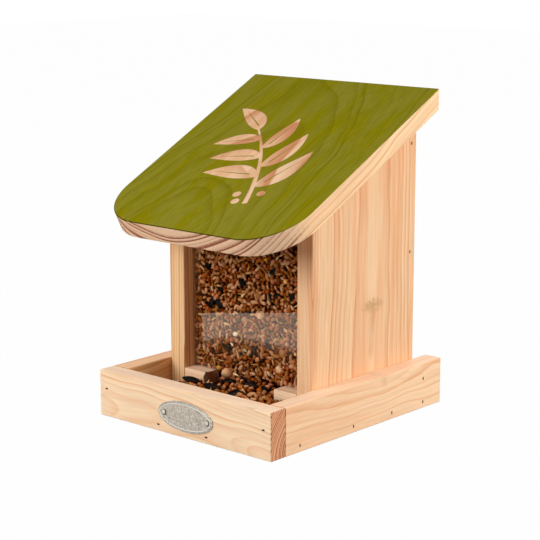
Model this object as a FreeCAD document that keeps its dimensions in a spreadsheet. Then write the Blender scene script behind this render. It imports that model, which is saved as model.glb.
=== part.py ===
import FreeCAD, Part
import math
import os

import Sketcher

Vector = FreeCAD.Vector
Rotation = FreeCAD.Rotation

# A silo bird feeder in bare softwood: a shallow tray, a seed silo with a clear drop-in front,
# and a stained roof that swings back on two butt hinges.
# Frame: origin at the centre of the tray's underside, +X to the feeder's right as seen from
# the front, +Y to the back, +Z up. Millimetres, degrees for the slope.

doc = FreeCAD.newDocument("silo_bird_feeder")

SIZES = {
    "tray_width": 175,
    "tray_depth": 201,
    "rail_height": 36,
    "board_thickness": 15,
    "floor_thickness": 10,
    "edge_chamfer": 0.6,
    "silo_setback": 62,
    "silo_depth": 122,
    "panel_front_top": 169.2,
    "roof_slope": 27,
    "roof_overhang": 20,
    "roof_front_setback": 0,
    "roof_thickness": 15,
    "roof_corner_radius": 42,
    "roof_seat_gap": 0.3,
    "pane_thickness": 2,
    "pane_setback": 10,
    "pane_clearance": 0.1,
    "pane_headroom": 1,
    "groove_depth": 3,
    "groove_play": 0.5,
    "block_width": 22.5,
    "block_height": 20,
    "block_depth": 15,
    "nail_width": 1.6,
    "nail_thickness": 1.3,
    "nail_head_width": 2.4,
    "nail_head_height": 1,
    "nail_sink": 0.4,
    "nail_point": 2,
    "nail_clearance": 0.05,
    "long_nail": 40,
    "short_nail": 30,
    "corner_nail_height": 22,
    "floor_nail_spread": 24.5,
    "rail_nail_first": 31,
    "rail_nail_second": 92,
    "rail_nail_third": 138.5,
    "panel_nail_inset": 6,
    "panel_nail_low": 122,
    "panel_nail_high": 206,
    "tie_nail_height": 23.7,
    "foot_nail_inset": 18,
    "foot_nail_spread": 30,
    "badge_width": 55.5,
    "badge_height": 23,
    "badge_thickness": 0.8,
    "badge_rim_width": 1.8,
    "badge_rim_height": 0.6,
    "badge_rim_chamfer": 0.3,
    "badge_offset": 4,
    "badge_centre_height": 16.2,
    "badge_nail_spacing": 44,
    "badge_nail_length": 12,
    "badge_nail_radius": 0.8,
    "badge_nail_head_radius": 1.5,
    "badge_nail_head_height": 0.7,
    "hinge_spacing": 72,
    "hinge_width": 30,
    "leaf_height": 14,
    "leaf_thickness": 1,
    "leaf_corner_radius": 2,
    "knuckle_radius": 2,
    "knuckle_lift": 0.4,
    "knuckle_gap": 0.3,
    "tab_setback": 0.7,
    "pin_radius": 1,
    "pin_clearance": 0.05,
    "screw_spacing": 18,
    "screw_drop": 8,
    "screw_shank_radius": 1.2,
    "screw_head_radius": 2.4,
    "screw_head_height": 0.9,
    "screw_length": 11,
    "screw_slot_width": 0.7,
    "screw_slot_depth": 0.5,
}

DERIVED = {
    "tray_front": "-tray_depth / 2",
    "tray_inner_half": "tray_width / 2 - board_thickness",
    "silo_inner_half": "tray_inner_half - board_thickness",
    "silo_front": "tray_front + silo_setback",
    "silo_rear": "silo_front + silo_depth",
    "roof_rise": "tan(roof_slope * 1 deg)",
    "roof_cosine": "cos(roof_slope * 1 deg)",
    "roof_sine": "sin(roof_slope * 1 deg)",
    "panel_rear_top": "panel_front_top + silo_depth * roof_rise",
    "roof_front": "tray_front + roof_front_setback",
    "roof_lift": "roof_seat_gap / roof_cosine",
    "roof_plumb": "roof_thickness / roof_cosine",
    "roof_front_top":
        "panel_front_top + roof_lift + roof_plumb + (roof_front - silo_front) * roof_rise",
    "block_top": "floor_thickness + block_height",
    "pane_front": "silo_front + pane_setback",
    "pane_top": "panel_front_top + pane_setback * roof_rise - pane_headroom",
    "hinge_y": "silo_rear + knuckle_radius + knuckle_lift",
    "hinge_z": "panel_rear_top + roof_lift / 2",
    "knuckle_half": "hinge_width / 6 - knuckle_gap / 2",
    "leaf_back": "knuckle_radius + knuckle_lift",
    "leaf_relief": "knuckle_radius + knuckle_gap",
}

sheet = doc.addObject("Spreadsheet::Sheet", "dims")
for row, (alias, value) in enumerate(SIZES.items(), start=1):
    sheet.set(f"A{row}", alias.replace("_", " "))
    sheet.set(f"B{row}", str(value))
    sheet.setAlias(f"B{row}", alias)
for row, (alias, formula) in enumerate(DERIVED.items(), start=len(SIZES) + 1):
    sheet.set(f"A{row}", alias.replace("_", " "))
    sheet.set(f"B{row}", f"={formula}")
    sheet.setAlias(f"B{row}", alias)
doc.recompute()

nodes = []


def size(alias):
    """Read one size from the sheet as a plain number."""
    return float(getattr(sheet, alias))


def keep(obj, label):
    """Name an object as a finished piece of the feeder."""
    obj.Label = label
    nodes.append(obj)
    return obj


def bind(obj, bindings):
    """Bind properties of an object to formulas in the sheet's sizes."""
    for prop, formula in bindings.items():
        obj.setExpression(prop, formula)


def new_body(name, **place):
    """Start a body, with the coordinates of its Placement bound to formulas."""
    body = doc.addObject("PartDesign::Body", name)
    bind(body, {f"Placement.Base.{axis}": formula for axis, formula in place.items()})
    return body


def origin_plane(body, role):
    """Find one of a body's own origin planes."""
    return next(feature for feature in body.Origin.OriginFeatures if feature.Role == role)


def new_sketch(body, name, role, offset=None):
    """Attach a sketch to an origin plane of its body, moved along its normal by a formula."""
    sketch = body.newObject("Sketcher::SketchObject", name)
    sketch.AttachmentSupport = [(origin_plane(body, role), "")]
    sketch.MapMode = "FlatFace"
    if offset:
        sketch.setExpression("AttachmentOffset.Base.z", offset)
    return sketch


def pin_point(sketch, geometry, point, at, formulas):
    """Fix a sketch point by its two distances from the sketch's origin."""
    for kind, start, formula in zip(("DistanceX", "DistanceY"), at, formulas):
        index = sketch.addConstraint(Sketcher.Constraint(kind, -1, 1, geometry, point, start))
        sketch.setExpression(f"Constraints[{index}]", formula)


def outline(sketch, corners):
    """Draw a closed outline through corners, each a pair of formulas."""
    count = len(corners)
    turns = [2 * math.pi * index / count for index in range(count)]
    starts = [Vector(math.cos(turn), math.sin(turn), 0) for turn in turns]
    for index, start in enumerate(starts):
        sketch.addGeometry(Part.LineSegment(start, starts[(index + 1) % count]), False)
    for index, start in enumerate(starts):
        following = (index + 1) % count
        sketch.addConstraint(Sketcher.Constraint("Coincident", index, 2, following, 1))
        pin_point(sketch, index, 1, start, corners[index])


def circle(sketch, radius):
    """Draw a circle about the sketch's origin."""
    index = sketch.addGeometry(Part.Circle(Vector(0, 0, 0), Vector(0, 0, 1), 1), False)
    sketch.addConstraint(Sketcher.Constraint("Coincident", index, 3, -1, 1))
    constraint = sketch.addConstraint(Sketcher.Constraint("Radius", index, 1))
    sketch.setExpression(f"Constraints[{constraint}]", radius)


def extrude(body, kind, sketch, length, reverse=False, centred=False):
    """Add a Pad or cut a Pocket from a sketch."""
    feature = body.newObject(f"PartDesign::{kind}", f"{sketch.Name}_{kind.lower()}")
    feature.Profile = sketch
    feature.Reversed = reverse
    feature.Midplane = centred
    feature.setExpression("Length", length)
    sketch.Visibility = False
    return feature


def revolve(body, sketch):
    """Turn a sketch round its own vertical axis."""
    feature = body.newObject("PartDesign::Revolution", f"{sketch.Name}_turned")
    feature.Profile = sketch
    feature.ReferenceAxis = (sketch, ["V_Axis"])
    feature.Angle = 360
    return feature


def ease_edges(body, feature, width="dims.edge_chamfer"):
    """Take the sharpness off every edge of a feature."""
    eased = body.newObject("PartDesign::Chamfer", f"{feature.Name}_eased")
    eased.Base = (feature, [""])
    eased.UseAllEdges = True
    eased.setExpression("Size", width)
    return eased


def round_edges(body, feature, radius, wanted):
    """Round the edges of a feature that pass a test."""
    doc.recompute()
    names = [f"Edge{index}" for index, edge in enumerate(feature.Shape.Edges, start=1) if wanted(edge)]
    rounded = body.newObject("PartDesign::Fillet", f"{feature.Name}_rounded")
    rounded.Base = (feature, names)
    rounded.setExpression("Radius", radius)
    return rounded


def rectangle(low_across, high_across, low_up, high_up):
    """List the corners of a rectangle given by formulas."""
    return [
        (low_across, low_up),
        (high_across, low_up),
        (high_across, high_up),
        (low_across, high_up),
    ]


def cut(base, tools, label):
    """Cut tools out of a piece and keep what is left."""
    joined = doc.addObject("Part::Compound", f"{label}_tools")
    joined.Links = tools
    result = doc.addObject("Part::Cut", label)
    result.Base = base
    result.Tool = joined
    return keep(result, label)


def mirrored(source, name):
    """Mirror an object from the feeder's right side to its left."""
    mirror = doc.addObject("Part::Mirroring", name)
    mirror.Source = source
    mirror.Normal = Vector(1, 0, 0)
    mirror.Base = Vector(0, 0, 0)
    return mirror


def paired(source, name):
    """Group an object with its mirror image."""
    group = doc.addObject("Part::Compound", name)
    group.Links = [source, mirrored(source, f"{name}_left")]
    return group


def turned_master(name, profile):
    """Turn a profile of radius and height formulas into a master piece that points down."""
    body = new_body(name)
    sketch = new_sketch(body, f"{name}_profile", "XZ_Plane")
    outline(sketch, profile)
    revolve(body, sketch)
    doc.recompute()
    return body


def copies(master, name, spots, direction):
    """Set copies of a master on spots, pointing along a direction."""
    turn = Rotation(Vector(0, 0, -1), direction)
    placed = []
    for spot in spots:
        shape = master.Shape.copy()
        shape.Placement = FreeCAD.Placement(spot, turn).multiply(shape.Placement)
        placed.append(shape)
    group = doc.addObject("Part::Feature", name)
    group.Shape = Part.makeCompound(placed)
    return group


def nail_master(name, length, grow, top):
    """Make a sunk wire brad, or grown all round by a clearance the bore that takes it."""
    head = f"dims.nail_head_width / 2 + {grow}"
    shank = f"dims.nail_width / 2 + {grow}"
    neck = f"-dims.nail_sink - dims.nail_head_height - {grow}"
    shoulder = f"-dims.{length} + dims.nail_point"
    tip = f"-dims.{length} - 2 * dims.nail_point / dims.nail_width * {grow}"
    body = new_body(name)
    profile = new_sketch(body, f"{name}_profile", "XZ_Plane")
    outline(profile, [
        (f"-({head})", top),
        (f"-({head})", neck),
        (f"-({shank})", neck),
        (f"-({shank})", shoulder),
        ("0", tip),
        (shank, shoulder),
        (shank, neck),
        (head, neck),
        (head, top),
    ])
    extrude(body, "Pad", profile, f"dims.nail_thickness + 2 * {grow}", centred=True)
    doc.recompute()
    return body


def nail_masters(name, length):
    """Make a brad and its bore, both measured from the board's surface down."""
    nail = nail_master(name, length, "0", "-dims.nail_sink")
    bore = nail_master(f"{name}_bore", length, "dims.nail_clearance", "dims.nail_sink")
    return nail, bore


def driven(masters, name, spots, direction):
    """Drive fasteners into spots: the fasteners and their bores as two groups."""
    fastener, bore = masters
    return copies(fastener, name, spots, direction), copies(bore, f"{name}_bores", spots, direction)


# Tray rails: the front rail covers the ends of the two side rails.
front_rail_body = new_body("front_rail_board", y="dims.tray_front")
front_rail_face = new_sketch(front_rail_body, "front_rail_face", "XZ_Plane")
outline(front_rail_face, rectangle(
    "-dims.tray_width / 2", "dims.tray_width / 2", "0", "dims.rail_height"))
front_rail_pad = extrude(front_rail_body, "Pad", front_rail_face, "dims.board_thickness", reverse=True)
ease_edges(front_rail_body, front_rail_pad)

side_rail_body = new_body("side_rail_board", x="dims.tray_inner_half")
side_rail_face = new_sketch(side_rail_body, "side_rail_face", "YZ_Plane")
outline(side_rail_face, rectangle(
    "dims.tray_front + dims.board_thickness", "dims.tray_depth / 2", "0", "dims.rail_height"))
side_rail_pad = extrude(side_rail_body, "Pad", side_rail_face, "dims.board_thickness")
ease_edges(side_rail_body, side_rail_pad)

# Floor: it lies between the rails, flush with their undersides and rear ends.
floor_body = new_body("floor_plank")
floor_face = new_sketch(floor_body, "floor_face", "XY_Plane")
outline(floor_face, rectangle(
    "-dims.tray_inner_half", "dims.tray_inner_half",
    "dims.tray_front + dims.board_thickness", "dims.tray_depth / 2"))
floor_pad = extrude(floor_body, "Pad", floor_face, "dims.floor_thickness")
ease_edges(floor_body, floor_pad)

# Silo sides: they stand on the floor against the rails, and their tops follow the roof.
panel_body = new_body("side_panel_board", x="dims.silo_inner_half")
panel_face = new_sketch(panel_body, "panel_face", "YZ_Plane")
outline(panel_face, [
    ("dims.silo_front", "dims.floor_thickness"),
    ("dims.silo_rear", "dims.floor_thickness"),
    ("dims.silo_rear", "dims.panel_rear_top"),
    ("dims.silo_front", "dims.panel_front_top"),
])
panel_pad = extrude(panel_body, "Pad", panel_face, "dims.board_thickness")
ease_edges(panel_body, panel_pad)
groove_rear = "dims.pane_front + dims.pane_thickness + 2 * dims.pane_clearance"
groove_face = new_sketch(panel_body, "groove_face", "YZ_Plane")
outline(groove_face, rectangle(
    "dims.pane_front", groove_rear, "dims.block_top", "dims.panel_rear_top"))
extrude(panel_body, "Pocket", groove_face, "dims.groove_depth", reverse=True)

# Silo back: between the sides, with its top bevelled to the roof.
back_body = new_body("back_panel_board")
back_profile = new_sketch(back_body, "back_profile", "YZ_Plane")
outline(back_profile, [
    ("dims.silo_rear - dims.board_thickness", "dims.floor_thickness"),
    ("dims.silo_rear", "dims.floor_thickness"),
    ("dims.silo_rear", "dims.panel_rear_top"),
    (
        "dims.silo_rear - dims.board_thickness",
        "dims.panel_rear_top - dims.board_thickness * dims.roof_rise",
    ),
])
back_pad = extrude(back_body, "Pad", back_profile, "2 * dims.silo_inner_half", centred=True)
ease_edges(back_body, back_pad)

# Window blocks: they carry the pane, and the space between them lets the seed out.
block_body = new_body("window_block_board", z="dims.floor_thickness")
block_face = new_sketch(block_body, "block_face", "XY_Plane")
outline(block_face, rectangle(
    "dims.silo_inner_half - dims.block_width", "dims.silo_inner_half",
    "dims.silo_front", "dims.silo_front + dims.block_depth"))
block_pad = extrude(block_body, "Pad", block_face, "dims.block_height")
ease_edges(block_body, block_pad, "dims.edge_chamfer / 2")

# Window pane: it drops into the grooves from above and stands on the blocks.
pane_body = new_body("window_sheet", y="dims.pane_front + dims.pane_clearance")
pane_face = new_sketch(pane_body, "pane_face", "XZ_Plane")
pane_half = "dims.silo_inner_half + dims.groove_depth - dims.groove_play"
outline(pane_face, rectangle(f"-({pane_half})", pane_half, "dims.block_top", "dims.pane_top"))
extrude(pane_body, "Pad", pane_face, "dims.pane_thickness", reverse=True)
keep(pane_body, "window_pane")

# Roof: one board with big rounded front corners and a rear end cut plumb with the silo back.
roof_body = new_body("roof_plank")
roof_profile = new_sketch(roof_body, "roof_profile", "YZ_Plane")
outline(roof_profile, [
    ("dims.silo_rear", "dims.panel_rear_top + dims.roof_lift"),
    ("dims.silo_rear", "dims.panel_rear_top + dims.roof_lift + dims.roof_plumb"),
    ("dims.roof_front", "dims.roof_front_top"),
    (
        "dims.roof_front + dims.roof_thickness * dims.roof_sine",
        "dims.roof_front_top - dims.roof_thickness * dims.roof_cosine",
    ),
])
roof_pad = extrude(
    roof_body, "Pad", roof_profile, "2 * (dims.tray_inner_half + dims.roof_overhang)", centred=True)


def is_front_corner(edge):
    """Tell the roof's two front corner edges, which run through its thickness."""
    ends = [vertex.Point for vertex in edge.Vertexes]
    level = abs(ends[0].x - ends[-1].x) < 0.01
    forward = max(end.y for end in ends) < size("silo_front")
    return level and forward and edge.Length < 2 * size("roof_thickness")


roof_rounded = round_edges(roof_body, roof_pad, "dims.roof_corner_radius", is_front_corner)
ease_edges(roof_body, roof_rounded)

# Badge: a bare oval plate with a raised rim, nailed to the front rail.
BADGE_TURN = Rotation(Vector(1, 0, 0), 90)


def oval(name, inset, lift, height):
    """Raise an oval slab from the badge's outline, inset and lifted by formulas."""
    ring = doc.addObject("Part::Ellipse", f"{name}_outline")
    ring.Placement.Rotation = BADGE_TURN
    bind(ring, {
        "MajorRadius": f"dims.badge_width / 2 - {inset}",
        "MinorRadius": f"dims.badge_height / 2 - {inset}",
        "Placement.Base.x": "dims.badge_offset",
        "Placement.Base.y": f"dims.tray_front - {lift}",
        "Placement.Base.z": "dims.badge_centre_height",
    })
    slab = doc.addObject("Part::Extrusion", name)
    slab.Base = ring
    slab.DirMode = "Custom"
    slab.Dir = Vector(0, -1, 0)
    slab.Solid = True
    slab.setExpression("LengthFwd", height)
    return slab


badge_slab = oval("badge_slab", "0", "0", "dims.badge_thickness + dims.badge_rim_height")
badge_hollow = oval("badge_hollow", "dims.badge_rim_width", "dims.badge_thickness", "dims.badge_rim_height")
badge_dish = doc.addObject("Part::Cut", "badge_dish")
badge_dish.Base = badge_slab
badge_dish.Tool = badge_hollow
doc.recompute()
rim_face = size("tray_front") - size("badge_thickness") - size("badge_rim_height")
badge_eased = doc.addObject("Part::Chamfer", "badge_eased")
badge_eased.Base = badge_dish
badge_eased.Edges = [
    (index, size("badge_rim_chamfer"), size("badge_rim_chamfer"))
    for index, edge in enumerate(badge_dish.Shape.Edges, start=1)
    if abs(edge.BoundBox.YMin - rim_face) < 0.01 and abs(edge.BoundBox.YMax - rim_face) < 0.01
]

# Nails: their bores are cut from every board that they pass through.
long_nail = nail_masters("long_brad", "long_nail")
short_nail = nail_masters("short_brad", "short_nail")
FORWARD = Vector(0, -1, 0)
BACKWARD = Vector(0, 1, 0)
LEFTWARD = Vector(-1, 0, 0)
UPWARD = Vector(0, 0, 1)

rail_middle = size("tray_inner_half") + size("board_thickness") / 2
panel_middle = size("silo_inner_half") + size("board_thickness") / 2
floor_middle = size("floor_thickness") / 2
panel_nail_y = size("silo_rear") - size("panel_nail_inset")

front_spots = []
for side in (-1, 1):
    front_spots.append(Vector(side * rail_middle, size("tray_front"), size("corner_nail_height")))
    front_spots.append(Vector(side * size("floor_nail_spread"), size("tray_front"), floor_middle))
front_nails, front_bores = driven(long_nail, "front_rail_nails", front_spots, BACKWARD)
keep(front_nails, "front_rail_nails")

rail_steps = [size(f"rail_nail_{place}") for place in ("first", "second", "third")]
rail_spots = [Vector(size("tray_width") / 2, size("tray_front") + step, floor_middle) for step in rail_steps]
rail_spots.append(Vector(size("tray_width") / 2, panel_nail_y, floor_middle))
rail_spots.append(Vector(size("tray_width") / 2, panel_nail_y, size("tie_nail_height")))
rail_nails, rail_bores = driven(long_nail, "right_rail_nails", rail_spots, LEFTWARD)
keep(rail_nails, "right_rail_nails")
keep(mirrored(rail_nails, "left_rail_nails"), "left_rail_nails")

panel_heights = [size("panel_nail_low"), size("panel_nail_high")]
panel_spots = [Vector(size("tray_inner_half"), panel_nail_y, height) for height in panel_heights]
panel_nails, panel_bores = driven(long_nail, "right_panel_nails", panel_spots, LEFTWARD)
keep(panel_nails, "right_panel_nails")
keep(mirrored(panel_nails, "left_panel_nails"), "left_panel_nails")

block_middle_y = size("silo_front") + size("block_depth") / 2
block_middle_z = size("floor_thickness") + size("block_height") / 2
block_spots = [Vector(size("tray_inner_half"), block_middle_y, block_middle_z)]
block_nails, block_bores = driven(short_nail, "right_block_nail", block_spots, LEFTWARD)
keep(paired(block_nails, "block_nails"), "block_nails")

foot_steps = [
    size("silo_front") + size("foot_nail_inset"),
    size("silo_rear") - 2 * size("foot_nail_inset"),
]
back_middle = size("silo_rear") - size("board_thickness") / 2
foot_spots = []
for side in (-1, 1):
    for step in foot_steps:
        foot_spots.append(Vector(side * panel_middle, step, 0))
    foot_spots.append(Vector(side * size("foot_nail_spread"), back_middle, 0))
foot_nails, foot_bores = driven(short_nail, "foot_nails", foot_spots, UPWARD)
keep(foot_nails, "foot_nails")

badge_nail_tip = "dims.badge_thickness - dims.badge_nail_length"
badge_nail = turned_master("badge_pin", [
    ("0", "dims.badge_nail_head_height"),
    ("dims.badge_nail_radius", "dims.badge_nail_head_height"),
    ("dims.badge_nail_head_radius", "0"),
    ("dims.badge_nail_radius", "0"),
    ("dims.badge_nail_radius", badge_nail_tip),
    ("0", badge_nail_tip),
])
badge_bore = turned_master("badge_pin_bore", [
    ("0", "dims.badge_thickness"),
    ("dims.badge_nail_radius + dims.nail_clearance", "dims.badge_thickness"),
    ("dims.badge_nail_radius + dims.nail_clearance", f"{badge_nail_tip} - dims.nail_clearance"),
    ("0", f"{badge_nail_tip} - dims.nail_clearance"),
])
badge_face = size("tray_front") - size("badge_thickness")
badge_ends = [size("badge_offset") + side * size("badge_nail_spacing") / 2 for side in (-1, 1)]
badge_spots = [Vector(x, badge_face, size("badge_centre_height")) for x in badge_ends]
badge_nails, badge_bores = driven((badge_nail, badge_bore), "badge_nails", badge_spots, BACKWARD)
keep(badge_nails, "badge_nails")
cut(badge_eased, [badge_bores], "badge_plate")

# Butt hinges: two leaves with interlocking knuckles on a pin, screwed across the joint
# between the silo back and the roof's plumb end.
hinge_place = {"x": "dims.hinge_spacing / 2", "y": "dims.hinge_y", "z": "dims.hinge_z"}
leaf_half = "dims.hinge_width / 2"


def is_leaf_corner(edge):
    """Tell a leaf's two outer corner edges, which run through its thickness."""
    ends = [vertex.Point for vertex in edge.Vertexes]
    through = abs(edge.Length - size("leaf_thickness")) < 0.01
    outer = min(abs(end.z) for end in ends) > size("leaf_height") - 0.01
    return through and outer


def leaf(name, corners, knuckle_start, knuckle_end, both_ends):
    """Build a hinge leaf about its pin: the plate, its knuckles and the pin's bore."""
    body = new_body(name, **hinge_place)
    plate = new_sketch(body, f"{name}_plate", "XZ_Plane", offset="dims.leaf_back")
    outline(plate, corners)
    plate_pad = extrude(body, "Pad", plate, "dims.leaf_thickness", reverse=True)
    round_edges(body, plate_pad, "dims.leaf_corner_radius", is_leaf_corner)
    knuckle = new_sketch(body, f"{name}_knuckle", "YZ_Plane", offset=knuckle_start)
    circle(knuckle, "dims.knuckle_radius")
    roll = extrude(body, "Pad", knuckle, f"{knuckle_end} - ({knuckle_start})")
    if both_ends:
        other = body.newObject("PartDesign::Mirrored", f"{name}_other_knuckle")
        other.Originals = [roll]
        other.MirrorPlane = (origin_plane(body, "YZ_Plane"), [""])
        body.Tip = other
    bore = new_sketch(body, f"{name}_bore", "YZ_Plane")
    circle(bore, "dims.pin_radius + dims.pin_clearance")
    extrude(body, "Pocket", bore, "2 * dims.hinge_width", centred=True)
    return body


outer_start = "dims.knuckle_half + dims.knuckle_gap"
base_leaf = leaf("base_leaf", [
    (f"-{leaf_half}", "-dims.leaf_height"),
    (leaf_half, "-dims.leaf_height"),
    (leaf_half, "-dims.tab_setback"),
    (outer_start, "-dims.tab_setback"),
    (outer_start, "-dims.leaf_relief"),
    (f"-({outer_start})", "-dims.leaf_relief"),
    (f"-({outer_start})", "-dims.tab_setback"),
    (f"-{leaf_half}", "-dims.tab_setback"),
], outer_start, leaf_half, True)
roof_leaf = leaf("roof_leaf", [
    (f"-{leaf_half}", "dims.leaf_height"),
    (f"-{leaf_half}", "dims.leaf_relief"),
    ("-dims.knuckle_half", "dims.leaf_relief"),
    ("-dims.knuckle_half", "dims.tab_setback"),
    ("dims.knuckle_half", "dims.tab_setback"),
    ("dims.knuckle_half", "dims.leaf_relief"),
    (leaf_half, "dims.leaf_relief"),
    (leaf_half, "dims.leaf_height"),
], "-dims.knuckle_half", "dims.knuckle_half", False)

right_pin = doc.addObject("Part::Cylinder", "right_hinge_pin")
right_pin.Placement.Rotation = Rotation(Vector(0, 1, 0), 90)
bind(right_pin, {
    "Radius": "dims.pin_radius",
    "Height": "dims.hinge_width",
    "Placement.Base.x": f"{hinge_place['x']} - {leaf_half}",
    "Placement.Base.y": hinge_place["y"],
    "Placement.Base.z": hinge_place["z"],
})
keep(paired(right_pin, "hinge_pins"), "hinge_pins")

# Hinge screws: countersunk and slotted, sunk flush in the leaves.
screw_cone = "-dims.screw_head_height"
screw_master = turned_master("leaf_screw", [
    ("0", "0"),
    ("dims.screw_head_radius", "0"),
    ("dims.screw_shank_radius", screw_cone),
    ("dims.screw_shank_radius", "-dims.screw_length"),
    ("0", "-dims.screw_length"),
])
slot_face = new_sketch(screw_master, "screw_slot", "XZ_Plane")
outline(slot_face, rectangle(
    "-dims.screw_slot_width / 2", "dims.screw_slot_width / 2",
    "-dims.screw_slot_depth", "dims.screw_slot_depth"))
extrude(screw_master, "Pocket", slot_face, "4 * dims.screw_head_radius", centred=True)
screw_bore = turned_master("leaf_screw_bore", [
    ("0", "dims.nail_sink"),
    ("dims.screw_head_radius + dims.nail_clearance", "dims.nail_sink"),
    ("dims.screw_head_radius + dims.nail_clearance", "0"),
    ("dims.screw_shank_radius + dims.nail_clearance", screw_cone),
    ("dims.screw_shank_radius + dims.nail_clearance", "-dims.screw_length - dims.nail_clearance"),
    ("0", "-dims.screw_length - dims.nail_clearance"),
])
doc.recompute()
leaf_face = size("silo_rear") + size("leaf_thickness")


def leaf_spots(direction):
    """Place the two screws of the right hinge's leaf above or below its pin."""
    height = size("hinge_z") + direction * size("screw_drop")
    across = [size("hinge_spacing") / 2 + side * size("screw_spacing") / 2 for side in (-1, 1)]
    return [Vector(x, leaf_face, height) for x in across]


screws = (screw_master, screw_bore)
base_screws, base_screw_bores = driven(screws, "base_screws", leaf_spots(-1), FORWARD)
roof_screws, roof_screw_bores = driven(screws, "roof_screws", leaf_spots(1), FORWARD)
keep(paired(base_screws, "hinge_base_screws"), "hinge_base_screws")
keep(paired(roof_screws, "hinge_roof_screws"), "hinge_roof_screws")

for hinge_leaf, bores, kind in ((base_leaf, base_screw_bores, "base"), (roof_leaf, roof_screw_bores, "roof")):
    right_leaf = cut(hinge_leaf, [bores], f"right_hinge_{kind}_leaf")
    left_leaf = f"left_hinge_{kind}_leaf"
    keep(mirrored(right_leaf, left_leaf), left_leaf)

# Boards with their bores cut; the left side mirrors the right.
left_rail_bores = mirrored(rail_bores, "left_rail_bores")
left_panel_bores = mirrored(panel_bores, "left_panel_bores")
cut(front_rail_body, [front_bores, badge_bores], "front_rail")
right_rail = cut(side_rail_body, [front_bores, rail_bores], "right_rail")
keep(mirrored(right_rail, "left_rail"), "left_rail")
cut(floor_body, [front_bores, rail_bores, left_rail_bores, foot_bores], "floor_board")
right_panel = cut(panel_body, [rail_bores, panel_bores, block_bores, foot_bores], "right_side_panel")
keep(mirrored(right_panel, "left_side_panel"), "left_side_panel")
right_block = cut(block_body, [block_bores], "right_window_block")
keep(mirrored(right_block, "left_window_block"), "left_window_block")
back_screw_bores = paired(base_screw_bores, "back_screw_bores")
cut(
    back_body,
    [rail_bores, left_rail_bores, panel_bores, left_panel_bores, foot_bores, back_screw_bores],
    "back_panel",
)
cut(roof_body, [paired(roof_screw_bores, "roof_bores")], "roof_board")

doc.recompute()
for obj in doc.Objects:
    if "Invalid" in obj.State or "Error" in obj.State:
        raise RuntimeError(f"{obj.Name} failed: {obj.State}")
os.makedirs("parts", exist_ok=True)
for node in nodes:
    if node.Shape.isNull() or not node.Shape.isValid():
        raise RuntimeError(f"{node.Label} has no valid shape")
    node.Shape.exportStep(f"parts/{node.Label}.step")
print(len(nodes), "pieces written")
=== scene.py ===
"""Looks of a silo bird feeder: pine boards, a stained roof, a clear pane, metal trim and seed."""

import logging
import math
from dataclasses import dataclass, field, fields, replace
from enum import Enum
from typing import Any, Callable, Iterable, Sequence

import bmesh
import bpy
from mathutils import Color, Euler, Matrix, Vector, geometry


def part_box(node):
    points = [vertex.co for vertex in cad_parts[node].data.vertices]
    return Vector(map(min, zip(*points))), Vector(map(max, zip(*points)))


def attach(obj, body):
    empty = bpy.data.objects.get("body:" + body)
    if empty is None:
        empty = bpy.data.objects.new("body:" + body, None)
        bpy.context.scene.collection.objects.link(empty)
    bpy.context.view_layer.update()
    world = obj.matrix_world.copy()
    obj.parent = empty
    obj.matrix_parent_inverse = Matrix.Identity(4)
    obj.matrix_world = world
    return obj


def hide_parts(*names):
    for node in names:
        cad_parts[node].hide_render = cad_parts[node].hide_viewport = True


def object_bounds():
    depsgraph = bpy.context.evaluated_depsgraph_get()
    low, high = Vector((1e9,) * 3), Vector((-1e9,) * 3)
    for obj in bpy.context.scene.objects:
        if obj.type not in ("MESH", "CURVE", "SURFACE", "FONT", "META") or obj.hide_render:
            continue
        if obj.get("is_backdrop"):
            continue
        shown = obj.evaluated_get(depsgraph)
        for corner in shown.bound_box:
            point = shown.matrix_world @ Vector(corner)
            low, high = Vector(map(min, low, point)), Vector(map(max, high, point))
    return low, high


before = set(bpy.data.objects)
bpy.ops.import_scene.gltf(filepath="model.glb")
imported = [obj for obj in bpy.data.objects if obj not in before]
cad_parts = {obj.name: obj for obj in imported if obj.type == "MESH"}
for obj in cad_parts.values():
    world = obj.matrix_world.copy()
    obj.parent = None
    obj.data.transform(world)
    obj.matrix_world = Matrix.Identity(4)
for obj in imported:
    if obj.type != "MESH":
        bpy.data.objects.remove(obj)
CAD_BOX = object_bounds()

Colour = tuple[float, float, float, float]
Point2 = tuple[float, float]
Point3 = tuple[float, float, float]
HeightAt = Callable[[float, float], float]
PlaceAt = Callable[[float, float], Vector]
Ring = Sequence[bmesh.types.BMVert]
Socket = bpy.types.NodeSocket

LOG = logging.getLogger("bird_feeder")
MM = 0.001
ROOF_SLOPE = math.radians(27)
FULL_LEVEL = 255
NOISE_MIDDLE = 0.5
ACROSS_GRAIN: Point3 = (1.0, 1.0, 0.0)
WHITE: Colour = (1.0, 1.0, 1.0, 1.0)
BLACK: Colour = (0.0, 0.0, 0.0, 1.0)


def paint(red: int, green: int, blue: int) -> Colour:
    """Turn a colour as a screen shows it into the linear colour that shaders take.

    Args:
        red: Red level, 0 to 255.
        green: Green level, 0 to 255.
        blue: Blue level, 0 to 255.

    Returns:
        The linear colour with full alpha.
    """
    shown = Color([level / FULL_LEVEL for level in (red, green, blue)])
    return (*shown.from_srgb_to_scene_linear(), 1.0)


def smooth_step(value: float, low: float, high: float) -> float:
    """Ease from 0 at low to 1 at high.

    Args:
        value: Where to read the curve.
        low: Where the rise starts.
        high: Where the rise ends.

    Returns:
        The eased share, from 0 to 1.
    """
    share = min(1.0, max(0.0, (value - low) / (high - low)))
    return share * share * (3 - 2 * share)


def steps(low: float, high: float, count: int) -> list[float]:
    """Divide a stretch into even steps, ends included."""
    return [low + (high - low) * number / count for number in range(count + 1)]


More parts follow.
